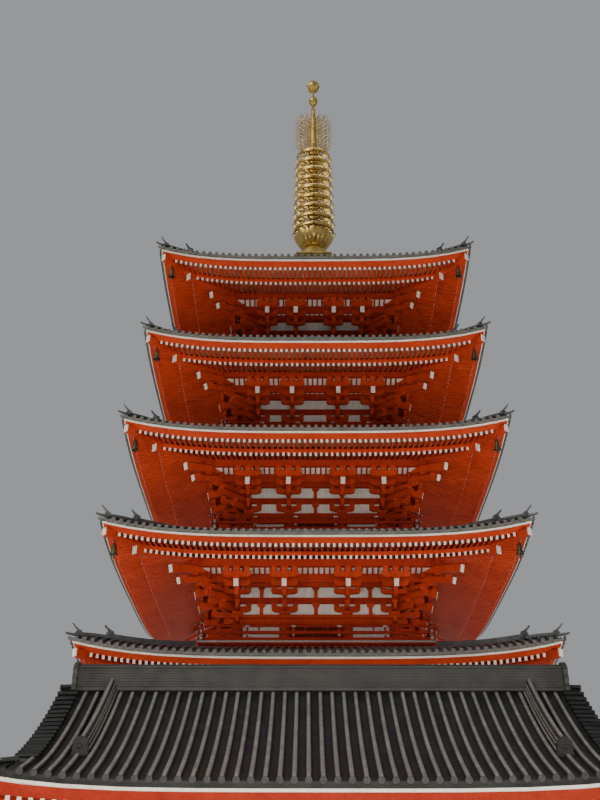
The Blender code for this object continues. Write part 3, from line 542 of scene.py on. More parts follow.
def stacked_ridge(layers, wide, step, cap):
    """Outline of a ridge of flat tiles in layers under a round cap tile."""
    right, z = [], 0.0
    for k in range(layers):
        w = wide * (1 - 0.07 * k) / 2
        right += [(w, z), (w, z + step * 0.62), (w - 0.02, z + step * 0.62), (w - 0.02, z + step)]
        z += step
    arc = [(cap * math.cos(q), z + cap * 0.9 * math.sin(q)) for q in np.linspace(0.1, math.pi - 0.1, 7)]
    return right + arc + [(-p, h) for p, h in reversed(right)]


def ogre_tile(shape, place, out, wide, tall, four=True, horn=None):
    """The end tile of a ridge: a shouldered shield with a moulded rim and a boss, and a
    horn tile that rises forward over it."""
    out = np.asarray(out, float) / np.linalg.norm(out)
    side = np.array([-out[1], out[0], 0.0])
    half = [
        (0.0, 0.0), (0.46, 0.0), (0.52, 0.10), (0.44, 0.20), (0.50, 0.34), (0.42, 0.50),
        (0.47, 0.62), (0.34, 0.78), (0.18, 0.90), (0.0, 0.94),
    ]
    full = half + [(-p, q) for p, q in reversed(half[1:-1])]
    outline = [(p * wide * 1.05, q * tall) for p, q in full]
    shape.prism(outline, -0.09, 0.05, (place, side, UP, out), four)
    inner = [(p * wide * 0.78, 0.08 * tall + q * tall * 0.80) for p, q in full]
    shape.prism(inner, 0.05, 0.075, (place, side, UP, out), four)
    shape.drum(
        np.asarray(place) + UP * 0.42 * tall + out * 0.075,
        [(0.17 * wide, 0.0), (0.16 * wide, 0.035), (0.08 * wide, 0.055), (0.02 * wide, 0.06)],
        10, four, (side, UP, out),
    )
    if horn:
        far, rise, radius = horn
        start = np.asarray(place) + UP * 0.80 * tall - out * 0.14
        path = [start + out * (far + 0.14) * s + UP * rise * s**1.6 for s in np.linspace(0, 1, 6)]
        shape.tube(path, np.linspace(radius, 0.55 * radius, 6), 9, four)


def storey_roof(n):
    a = HALF_EAVE[n]
    outer = a + TILE_OVERHANG
    inner = balcony_half(n + 1) - 0.30 if n < 4 else 1.0
    count = round(2 * a / TILE_GAP)
    gap = 2 * a / count
    steps = 12 if n == 4 else 8
    covers = Shape(f"storey_{n + 1}_cover_tiles", TILE, "grey_tile", f"storey_{n + 1}_roof")
    ends = Shape(f"storey_{n + 1}_tile_ends", CAPS, "grey_tile", f"storey_{n + 1}_roof")
    for j in range(count):
        x = -a + gap * (j + 0.5)
        reach = max(inner, abs(x) + 0.22)
        if reach < outer - 0.12:
            rs = np.linspace(outer + 0.02, reach, steps)
            line = np.stack([np.full(steps, x), -rs, tiled(n, x, rs) - 0.02], axis=1)
            cover_row(covers, line, (1, 0, 0))
            end_disc(ends, x, outer + 0.035, float(line[0, 2]) + 0.008)
        # the pan tiles to the left of this row
        m = x - gap / 2
        reach = max(inner, abs(m) + 0.05)
        if reach < outer - 0.05:
            rs = np.linspace(outer, reach, steps)
            line = np.stack([np.full(steps, m), -rs, tiled(n, m, rs) - 0.02], axis=1)
            pan_row(covers, line, (1, 0, 0), gap)
            # its hanging front lip
            z = float(line[0, 2])
            lip = [(-0.5 * gap, 0.0), (-0.22 * gap, -0.040), (0.22 * gap, -0.040), (0.5 * gap, 0.0),
                   (0.5 * gap, -0.132), (0.28 * gap, -0.146), (0.0, -0.150), (-0.28 * gap, -0.146), (-0.5 * gap, -0.132)]
            ends.prism(lip, -0.03, 0.012, ((m, -outer, z), (1, 0, 0), UP, (0, -1, 0)))
    covers.piece()
    # the strip the lowest tiles sit on
    band(ends, [(a - 0.10, EAVE_Z[n] - 0.022), (outer - 0.030, EAVE_Z[n] - 0.018), (outer - 0.030, EAVE_Z[n] + 0.055), (a - 0.10, EAVE_Z[n] + 0.060)], n)
    # the bed under the tiles, and the ridges down the hips
    bed = Shape(f"storey_{n + 1}_ridges", RIDGE, "grey_tile", f"storey_{n + 1}_roof")
    radii = np.linspace(a - 0.02, inner, 10)
    top = [(r, EAVE_Z[n] + float(roof_top(n, r)) - 0.075) for r in radii]
    low = [(r, z - 0.06) for r, z in reversed(top)]
    band(bed, top + low, n)
    ridge = bed
    knee = a - 1.25
    start = balcony_half(n + 1) + 0.13 if n < 4 else 1.05
    swept(ridge, hip_path(n, start, knee, 14, 0.0), stacked_ridge(3, 0.34, 0.060, 0.085))
    swept(ridge, hip_path(n, knee - 0.1, a - 0.18, 6, 0.0), stacked_ridge(2, 0.28, 0.045, 0.075))
    out = np.array([-1.0, -1.0, 0.0])
    p = hip_path(n, knee, knee + 0.01, 2)[0]
    ogre_tile(ridge, p, out, 0.44, 0.40, horn=(0.26, 0.22, 0.07))
    p = hip_path(n, a - 0.16, a - 0.15, 2)[0]
    ogre_tile(ridge, p, out, 0.32, 0.24, horn=(0.30, 0.27, 0.055))
    # the corner tile, which ends in a small horn of its own
    tip = hip_path(n, a - 0.30, a + 0.25, 6, 0.03)
    tip[:, 2] += np.linspace(0, 1, 6) ** 2 * 0.03
    ridge.tube(tip, np.linspace(0.085, 0.045, 6), 9)
    ridge.piece()
    ends.piece()


# ------------------------------------------------------------------ eaves
def storey_eaves(n):
    a, b, e = HALF_EAVE[n], HALF_WALL[n], EAVE_Z[n]
    node = f"storey_{n + 1}_eaves"
    rafters = Shape(f"storey_{n + 1}_rafters", RED, "vermilion_timber", node)
    flying = rafters
    tips = Shape(f"storey_{n + 1}_rafter_ends", WHITE, "white_plaster", node)
    boards = Shape(f"storey_{n + 1}_soffit_boards", SOFFIT, "white_plaster", node)
    edge = Shape(f"storey_{n + 1}_eave_boards", RED, "vermilion_timber", node)
    line = Shape(f"storey_{n + 1}_white_edge", WHITE, "white_plaster", node)
    wide, tall = 0.108, 0.165

    def rafter(shape, x, r_out, r_in, low, knots=2):
        rs = np.linspace(r_out, r_in, knots)
        zs = e + low(n, rs) + lift(n, rs, x / rs)
        ring = np.array(
            [[(x - wide / 2, -r, z), (x + wide / 2, -r, z), (x + wide / 2, -r, z + tall), (x - wide / 2, -r, z + tall)] for r, z in zip(rs, zs)]
        )
        shape.loft(ring)
        tip = ring[0].copy()
        back, front = tip.copy(), tip.copy()
        back[:, 1] += 0.001
        front[:, 1] -= 0.004
        tips.loft(np.stack([front, back]))

    count = round(2 * (a - 0.35) / RAFTER_GAP)
    gap = 2 * (a - 0.35) / count
    for j in range(count):
        x = -(a - 0.35) + gap * (j + 0.5)
        if abs(x) < a - 0.62:
            rafter(flying, x, a - 0.35, max(a - 1.62, abs(x) + 0.10), flying_low)
        if abs(x) < a - 1.72:
            rafter(rafters, x, a - 1.45, max(b - 0.10, abs(x) + 0.08), base_low, 3)
    def sheet(low, r0, r1, knots):
        rs = np.linspace(r0, r1, knots)
        up = [(r, e + float(low(n, r)) + tall + 0.003) for r in rs]
        over = [(r, z + 0.03) for r, z in reversed(up)]
        band(boards, up + over, n)

    sheet(flying_low, a - 0.36, a - 1.62, 4)
    sheet(base_low, a - 1.47, b - 0.10, 6)
    boards.piece()
    r = a - 1.42
    low, high = e - 0.605 + tall - 0.005, e + float(flying_low(n, a - 1.42)) + 0.005
    band(edge, [(r - 0.12, low), (r - 0.01, low), (r + 0.02, low + 0.02), (r + 0.03, high - 0.02), (r + 0.02, high), (r - 0.12, high)], n)
    z = e - 0.28
    band(edge, [(a - 0.46, z), (a - 0.37, z - 0.004), (a - 0.33, z + 0.02), (a - 0.045, e - 0.118), (a - 0.045, e - 0.02), (a - 0.46, e - 0.02)], n)
    band(line, [(a - 0.055, e - 0.112), (a - 0.008, e - 0.114), (a, e - 0.106), (a + 0.010, e - 0.034), (a, e - 0.025), (a - 0.055, e - 0.027)], n)
    line.piece()
    edge.piece()

    # corner rafters, in two tiers like the common ones
    hips, caps = rafters, tips
    side = np.array([1.0, -1.0, 0.0]) / math.sqrt(2)

    def hip(r0, r1, low0, low1, half, high, knots):
        ring = []
        for k in range(knots):
            s = k / (knots - 1)
            r = r0 + (r1 - r0) * s
            z = e + low0 + (low1 - low0) * s + float(lift(n, r, 1.0))
            p = np.array([-r, -r, z])
            ring.append([p - side * half, p + side * half, p + side * half + UP * high, p - side * half + UP * high])
        ring = np.array(ring)
        hips.loft(ring)
        tip = ring[-1]
        middle = tip.mean(axis=0)
        out = np.array([-1.0, -1.0, 0.0]) / math.sqrt(2)
        caps.loft(np.stack([middle + (tip - middle) * 1.03 - out * 0.03, middle + (tip - middle) * 1.03 + out * 0.015]))

    wall = float(base_low(n, b - 0.2))
    hip(b - 0.1, a - 1.28, wall - 0.16, -0.80, 0.13, 0.34, 6)
    hip(a - 1.75, a - 0.10, -0.40, -0.62, 0.12, 0.31, 4)
    hips.piece(False)
    caps.piece(False)

    bells = Shape(f"storey_{n + 1}_wind_bells", BRONZE, "gilt_bronze", node)
    r = a - 0.52
    z = e + float(lift(n, r, 1.0)) - 0.62
    centre = (-r, -r, z)
    bells.drum(centre, [(0.018, 0.10), (0.018, -0.16)], 8)
    bells.drum(
        centre,
        [(0.02, -0.12), (0.055, -0.15), (0.085, -0.20), (0.105, -0.30), (0.118, -0.45), (0.140, -0.56), (0.165, -0.62),
         (0.168, -0.66), (0.150, -0.67), (0.120, -0.58), (0.100, -0.45), (0.04, -0.25)],
        20,
    )
    for k in range(4):
        q = k * math.pi / 2 + math.pi / 4
        foot = np.array(centre) + np.array([0.118 * math.cos(q), 0.118 * math.sin(q), -0.45])
        bells.tube([foot, foot + np.array([0.03 * math.cos(q), 0.03 * math.sin(q), -0.13])], [0.014, 0.02], 6)
    bells.drum(centre, [(0.012, -0.55), (0.012, -0.72), (0.045, -0.75), (0.045, -0.78), (0.012, -0.80)], 10)
    bells.piece()


# ------------------------------------------------------------------ brackets
def arm_outline(reach, height, left=True, right=True):
    """The side view of a bracket arm: square shoulders over a curved underside."""
    cut = min(0.26, reach * 0.5)
    curve = [(reach - cut * (1 - math.cos(q)), height * 0.52 * (1 - math.sin(q))) for q in np.linspace(0, math.pi / 2, 6)]
    out = [(reach, height)] + curve if right else [(reach, height), (reach, 0.0)]
    mirror = [(-p, h) for p, h in reversed(curve)] + [(-reach, height)] if left else [(0.0, 0.0), (0.0, height)]
    return out + mirror


def block(shape, x, y, z, wide, tall, four=True):
    """A bearing block: a square dish whose lower part draws in."""
    rings = []
    for share, height in ((0.66, 0.0), (0.72, 0.16), (1.0, 0.46), (1.0, 1.0)):
        w = wide * share / 2
        rings.append([(x - w, y - w, z + tall * height), (x + w, y - w, z + tall * height), (x + w, y + w, z + tall * height), (x - w, y + w, z + tall * height)])
    shape.loft(np.array(rings), four=four)


def storey_brackets(n):
    b, e = HALF_WALL[n], EAVE_Z[n]
    node = f"storey_{n + 1}_brackets"
    arms = Shape(f"storey_{n + 1}_bracket_sets", RED, "vermilion_timber", node)
    blocks = arms
    ties = Shape(f"storey_{n + 1}_bracket_ties", RED_DEEP, "vermilion_timber", node)
    tails = arms
    tips = Shape(f"storey_{n + 1}_tail_rafter_ends", WHITE, "white_plaster", node)
    panels = Shape(f"storey_{n + 1}_bracket_panels", PLASTER, "white_plaster", node)
    coves = Shape(f"storey_{n + 1}_cove_boards", WHITE, "white_plaster", node)
    ribs = ties

    def along(x, u, z, reach, height=0.22, thick=0.17):
        """An arm parallel to the wall, u out from the column's centre."""
        arms.prism(arm_outline(reach, height), -thick / 2, thick / 2, ((x, -b - u, z), (1, 0, 0), UP, (0, 1, 0)))

    def outward(x, reach, z, height=0.22, thick=0.17):
        arms.prism(arm_outline(reach, height, left=False), -thick / 2, thick / 2, ((x, -b, z), (0, -1, 0), UP, (1, 0, 0)))

    def tail(x, thick=0.21):
        """The tail rafter that slopes down and out over the bracket arms."""
        s = -0.366
        tall = 0.325
        z0, u0 = -0.213, 0.0
        end = 2.06
        pts = [(u0, z0 - tall / 2), (end - 0.05, z0 + s * end - tall / 2), (end + 0.02, z0 + s * end + tall / 2), (u0, z0 + tall / 2)]
        frame3 = ((x, -b, e), (0, -1, 0), UP, (1, 0, 0))
        tails.prism(pts, -thick / 2, thick / 2, frame3)
        face = [(end - 0.055, z0 + s * end - tall / 2 - 0.004), (end - 0.03, z0 + s * end - tall / 2 - 0.004), (end + 0.04, z0 + s * end + tall / 2 + 0.004), (end + 0.01, z0 + s * end + tall / 2 + 0.004)]
        tips.prism(face, -thick / 2 - 0.004, thick / 2 + 0.004, frame3)

    big = 0.50
    wide = 0.62 if n < 3 else 0.58 if n == 3 else 0.53
    for x in (-b, -INNER_COLUMN * b, INNER_COLUMN * b, b):
        if x != b:
            block(blocks, x, -b, e - 1.955, big, 0.195)
        # first tier
        along(x, 0.0, e - 1.76, wide, 0.27)
        outward(x, 0.80, e - 1.76, 0.27)
        for w in (0.12 - wide, 0.0, wide - 0.12):
            if x != b or w:
                block(blocks, x + w, -b, e - 1.49, 0.25, 0.14)
        block(blocks, x, -b - 0.63, e - 1.49, 0.25, 0.13)
        # second tier
        outward(x, 1.44, e - 1.36, 0.26)
        along(x, 0.63, e - 1.07, wide, 0.24)
        block(blocks, x, -b - 0.63, e - 1.15, 0.28, 0.10)
        for w in (0.12 - wide, 0.0, wide - 0.12):
            block(blocks, x + w, -b - 0.63, e - 0.84, 0.23, 0.11)
        block(blocks, x, -b - 1.27, e - 1.10, 0.26, 0.12)
        outward(x, 1.52, e - 0.98, 0.20, 0.16)
        # third tier, on the tail rafter
        tail(x)
        along(x, 1.27, e - 0.89, wide, 0.23)
        for w in (0.12 - wide, wide - 0.12):
            block(blocks, x + w, -b - 1.27, e - 0.67, 0.23, 0.08)
        block(blocks, x, -b - 1.90, e - 0.82, 0.30, 0.15)
        along(x, 1.90, e - 0.68, wide + 0.04, 0.28, 0.18)
        for w in (0.15 - wide, 0.0, wide - 0.15):
            block(blocks, x + w, -b - 1.90, e - 0.40, 0.30 if not w else 0.25, 0.22)
    # beams that tie the sets together round the tower
    level_band(ties, b - 0.07, b + 0.07, e - 1.35, e - 1.07)
    level_band(ties, b - 0.07, b + 0.07, e - 0.50, e - 0.30)
    level_band(ties, b - 0.07, b + 0.08, e - 0.05, e + 0.18)
    level_band(ties, b + 0.56, b + 0.70, e - 0.73, e - 0.49)
    level_band(ties, b + 1.20, b + 1.34, e - 0.72, e - 0.20)
    under = float(base_low(n, b + 1.9)) - 0.005
    level_band(ties, b + 1.77, b + 2.03, e - 0.18, e + under)
    for r, z0, z1, half in ((b + 0.63, -0.73, -0.49, 0.07), (b + 1.27, -0.59, -0.32, 0.07), (b + 1.90, -0.18, under - 0.03, 0.13)):
        # the crossing ends beyond each corner
        ties.box((r - 0.05, -r - half, e + z0), (r + 0.34, -r + half, e + z1))
        ties.box((-r - 0.34, -r - half, e + z0), (-r + 0.05, -r + half, e + z1))
    # plaster between the sets
    level_band(panels, b - 0.16, b - 0.05, e - 1.95, e + 0.30)
    mids = [-0.7 * b, 0.0, 0.7 * b] if n == 1 else [0.0] if n in (0, 2) else []
    if n == 0:
        mids = [-0.7 * b, 0.0, 0.7 * b]
    for x in mids:
        for z0, z1 in ((-1.955, -1.35), (-1.07, -0.50)):
            arms.box((x - 0.085, -b - 0.05, e + z0), (x + 0.085, -b + 0.04, e + z1 - 0.14))
            block(blocks, x, -b, e + z1 - 0.17, 0.34, 0.17)
    # coved ceilings: white boards over red ribs, in two steps out to the purlin
    for r0, z0, r1, z1 in ((b + 1.33, -0.37, b + 1.78, -0.22), (b + 0.69, -0.54, b + 1.21, -0.40)):
        for t0 in (0,):
            ring = []
            for t in (-1.0, 1.0):
                ring.append([(t * r0, -r0, e + z0 + 0.05), (t * r1, -r1, e + z1 + 0.05), (t * r1, -r1, e + z1 + 0.09), (t * r0, -r0, e + z0 + 0.09)])
            coves.loft(np.array(ring), caps=False)
        count = round(2 * r0 / RAFTER_GAP)
        step = 2 * r0 / count
        for j in range(count):
            x = -r0 + step * (j + 0.5)
            ring = []
            for s in (0.0, 0.5, 1.0):
                r = r0 + (r1 - r0) * s
                z = e + z0 + (z1 - z0) * s + 0.06 * math.sin(math.pi * s) * (1 if r1 - r0 > 0.5 else 0)
                ring.append([(x - 0.04, -r, z - 0.02), (x + 0.04, -r, z - 0.02), (x + 0.04, -r, z + 0.055), (x - 0.04, -r, z + 0.055)])
            ribs.loft(np.array(ring))
    # diagonal sets at the corners, with two tail rafters one over the other
    out = np.array([-1.0, -1.0, 0.0]) / math.sqrt(2)
    side = np.array([1.0, -1.0, 0.0]) / math.sqrt(2)
    corner = np.array([-b, -b, e])

    def diagonal(reach, z, height=0.22, thick=0.19):
        arms.prism(arm_outline(reach, height, left=False), -thick / 2, thick / 2, (corner + UP * z, out, UP, side))

    diagonal(1.12, -1.76, 0.27)
    diagonal(2.00, -1.36, 0.26)
    diagonal(2.35, -0.98, 0.20)
    for u, z, w in ((0.63, -1.49, 0.26), (1.27, -1.10, 0.26)):
        p = corner + out * u * math.sqrt(2)
        block(blocks, p[0], p[1], e + z, w, 0.15)

    def long_tail(end, drop, tall, thick, slope=-0.26):
        start = 0.3
        pts = [(start, drop - slope * (end - start) - tall / 2), (end - 0.05, drop - tall / 2), (end + 0.03, drop + tall / 2), (start, drop - slope * (end - start) + tall / 2)]
        tails.prism(pts, -thick / 2, thick / 2, (corner, out, UP, side))
        face = [(end - 0.055, drop - tall / 2 - 0.004), (end - 0.03, drop - tall / 2 - 0.004), (end + 0.05, drop + tall / 2 + 0.004), (end + 0.02, drop + tall / 2 + 0.004)]
        tips.prism(face, -thick / 2 - 0.004, thick / 2 + 0.004, (corner, out, UP, side))

    long_tail(2.57 * math.sqrt(2), -1.06, 0.27, 0.20)
    long_tail(2.91 * math.sqrt(2), -0.60, 0.32, 0.22, -0.20)
    for u, z, w, h in ((1.95, -0.93, 0.30, 0.16), (2.35, -0.98, 0.28, 0.22)):
        p = corner + out * u * math.sqrt(2)
        block(blocks, p[0], p[1], e + z, w, h)
    p = corner + out * 1.9 * math.sqrt(2)
    arms.box((p[0] - 0.14, p[1] - 0.14, e - 0.60), (p[0] + 0.14, p[1] + 0.14, e - 0.18))
    for shape in (arms, ties, tips, panels, coves):
        shape.piece(False)


# ------------------------------------------------------------------ storeys
def storey_frame(n):
    b, e = HALF_WALL[n], EAVE_Z[n]
    floor = floor_of(n)
    node = f"storey_{n + 1}_frame"
    posts = Shape(f"storey_{n + 1}_columns_and_beams", RED, "vermilion_timber", node)
    beams = posts
    doors = Shape(f"storey_{n + 1}_doors", DOOR, "vermilion_timber", node)
    fittings = Shape(f"storey_{n + 1}_door_fittings", BRONZE, "gilt_bronze", node)
    low, top = e - 2.30, e - 1.88
    for share in (-1.0, -INNER_COLUMN, INNER_COLUMN):
        x = share * b
        posts.drum((x, -b, 0), [(0.25, floor + 0.01), (0.25, low - 0.25), (0.235, low - 0.05), (0.21, low + 0.02)], 24)
        # a metal shoe at the column's foot
        fittings.drum((x, -b, 0), [(0.262, floor + 0.01), (0.262, floor + 0.14), (0.25, floor + 0.15)], 24)
    level_band(beams, b - 0.30, b + 0.30, e - 2.10, e - 1.957)
    level_band(beams, b - 0.14, b + 0.15, e - 2.40, e - 2.103)
    level_band(beams, b - 0.20, b + 0.17, floor + 0.01, floor + 0.20)
    if n == 0:
        level_band(beams, b - 0.18, b + 0.20, floor + 3.30, floor + 3.55)
        level_band(beams, b - 0.18, b + 0.20, floor + 1.0, floor + 1.16)
    # crossing heads of the tie beams at the corners
    beams.box((b + 0.10, -b - 0.10, e - 2.36), (b + 0.62, -b + 0.10, e - 2.12))
    beams.box((-b - 0.62, -b - 0.10, e - 2.36), (-b - 0.10, -b + 0.10, e - 2.12))
    # double doors in the middle bay
    half = INNER_COLUMN * b - 0.24
    d0, d1 = floor + 0.20, e - 2.39 if n else floor + 3.30
    y = -b + 0.02
    doors.box((-half, y - 0.02, d0), (half, y + 0.05, d1))
    for sx in (-1, 1):
        x0, x1 = (0.02 if sx > 0 else -half + 0.09), (half - 0.09 if sx > 0 else -0.02)
        for low_x, high_x in ((x0, x0 + 0.09), (x1 - 0.09, x1)):
            doors.box((low_x, y - 0.055, d0 + 0.02), (high_x, y - 0.018, d1 - 0.02))
        rails = 3 if n else 5
        for k in range(rails):
            z = d0 + 0.04 + (d1 - d0 - 0.17) * k / (rails - 1)
            doors.box((x0 + 0.09, y - 0.050, z), (x1 - 0.09, y - 0.018, z + 0.09))
            for q in (0.12, 0.5, 0.88):
                fittings.drum((x0 + (x1 - x0) * q, y - 0.05, z + 0.045), [(0.026, 0.0), (0.022, 0.012), (0.008, 0.02)], 8, True,
                              (np.array([1.0, 0, 0]), UP, np.array([0, -1.0, 0])))
    beams.box((-half - 0.09, y - 0.09, floor + 0.20), (-half + 0.02, y + 0.06, d1 + 0.02))
    beams.box((half - 0.02, y - 0.09, floor + 0.20), (half + 0.09, y + 0.06, d1 + 0.02))
    posts.piece()
    doors.piece(False)
    fittings.piece()
    # white side bays
    bays = Shape(f"storey_{n + 1}_side_bays", PLASTER, "white_plaster", f"storey_{n + 1}_walls")
    for sx in (-1, 1):
        x0, x1 = sorted((sx * (INNER_COLUMN * b + 0.20), sx * (b - 0.20)))
        bays.box((x0, -b + 0.05, floor + 0.01), (x1, -b + 0.26, e - 1.90))
    inner = b - 0.5
    level_band(bays, inner, b - 0.28, e - 1.86, e + 0.5)
    bays.piece(False)


def storey_balcony(n):
    b, c = HALF_WALL[n], balcony_half(n)
    floor = floor_of(n)
    node = f"storey_{n + 1}_floor"
    boards = Shape(f"storey_{n + 1}_balcony_boards", RED_DEEP, "vermilion_timber", node)
    edge = Shape(f"storey_{n + 1}_balcony_edge", GREY, "granite", node)
    under = boards
    count = round((c - 0.05) / 0.20)
    step = (c - 0.06) / count
    # boards that run out from the wall, mitred at the corners
    for j in range(-count, count):
        x0, x1 = j * step + 0.006, (j + 1) * step - 0.006
        near = max(b - 0.3, min(abs(x0), abs(x1)))
        ring = np.array([[(x, -c + 0.05, floor - 0.05), (x, -max(b - 0.3, abs(x)), floor - 0.05), (x, -max(b - 0.3, abs(x)), floor - 0.005), (x, -c + 0.05, floor - 0.005)] for x in (x0, x1)])
        if c - 0.05 - near > 0.05:
            boards.loft(ring)
    level_band(edge, c - 0.07, c, floor - 0.075, floor)
    level_band(under, c - 0.10, c - 0.03, floor - 0.15, floor - 0.078)
    level_band(under, 0.6, c - 0.08, floor - 0.13, floor - 0.055)
    level_band(under, c - 0.42, c - 0.24, EAVE_Z[n - 1] + ROOF_AT_BALCONY - 0.02, floor - 0.12)
    count = round(2 * (c - 0.3) / 0.55)
    for j in range(count + 1):
        x = -(c - 0.3) + 2 * (c - 0.3) * j / count
        under.box((x - 0.06, -c + 0.10, floor - 0.27), (x + 0.06, -c + 0.40, floor - 0.13))
    boards.piece(False)
    edge.piece(False)

    node = f"storey_{n + 1}_railing"
    rails = Shape(f"storey_{n + 1}_rails", RED_DEEP, "vermilion_timber", node)
    caps = Shape(f"storey_{n + 1}_rail_fittings", SILVER, "gilt_bronze", node)
    r = c - 0.16
    top = floor + 0.74
    over = 0.30
    for z, radius in ((top - 0.045, 0.048),):
        rails.tube([(-r - over, -r, z + 0.07), (-r - 0.12, -r, z + 0.012), (-r, -r, z), (r, -r, z), (r + 0.12, -r, z + 0.012), (r + over, -r, z + 0.07)], radius, 10)
        for sx in (-1, 1):
            caps.tube([(sx * (r + over - 0.05), -r, z + 0.058), (sx * (r + over + 0.01), -r, z + 0.073)], radius * 1.14, 10)
    for low, high, half, out in ((0.34, 0.47, 0.045, 0.22), (0.03, 0.17, 0.055, 0.22)):
        rails.box((-r - out, -r - half, floor + low), (r + out, -r + half, floor + high))
        for sx in (-1, 1):
            x0, x1 = sorted((sx * (r + out - 0.03), sx * (r + out + 0.012)))
            caps.box((x0, -r - half * 1.1, floor + low - 0.004), (x1, -r + half * 1.1, floor + high + 0.004))
    posts = [-r, -0.5 * b - 0.5 * r + 0.3, -INNER_COLUMN * b, INNER_COLUMN * b, 0.5 * b + 0.5 * r - 0.3]
    posts = [-r] + [r * k for k in (-0.6, -0.2, 0.2, 0.6)]
    for x in posts:
        half = 0.062 if x == -r else 0.048
        rails.box((x - half, -r - half, floor + 0.005), (x + half, -r + half, top - 0.05))
        caps.tube([(x - half - 0.05, -r, top - 0.045), (x + half + 0.05, -r, top - 0.045)], 0.056, 10)
        caps.box((x - half * 1.12, -r - half * 1.12, floor + 0.27), (x + half * 1.12, -r + half * 1.12, floor + 0.32))
    for k in range(10):
        x = -r + 2 * r * (k + 0.5) / 10
        if min(abs(x - p) for p in posts) > 0.2:
            rails.box((x - 0.03, -r - 0.03, floor + 0.43), (x + 0.03, -r + 0.03, top - 0.08))
            block(rails, x, -r, top - 0.14, 0.11, 0.07)
    rails.piece()
    caps.piece()


for level in range(5):
    storey_roof(level)
    storey_eaves(level)
    storey_brackets(level)
    storey_frame(level)
    if level:
        storey_balcony(level)


# ------------------------------------------------------------------ spire
def hoop(shape, z, section, segments=36, centre=(0.0, 0.0)):
    """A closed ring about the axis. section is [(radius, height)]."""
    angle = np.arange(segments) * 2 * math.pi / segments
    points, count = [], len(section)
    for q in angle:
        for r, h in section:
            points.append((centre[0] + r * math.cos(q), centre[1] + r * math.sin(q), z + h))
    faces = []
    for k in range(segments):
        m = (k + 1) % segments
        for i in range(count):
            j = (i + 1) % count
            faces.append((k * count + i, k * count + j, m * count + j, m * count + i))
    shape.add(points, faces, False)


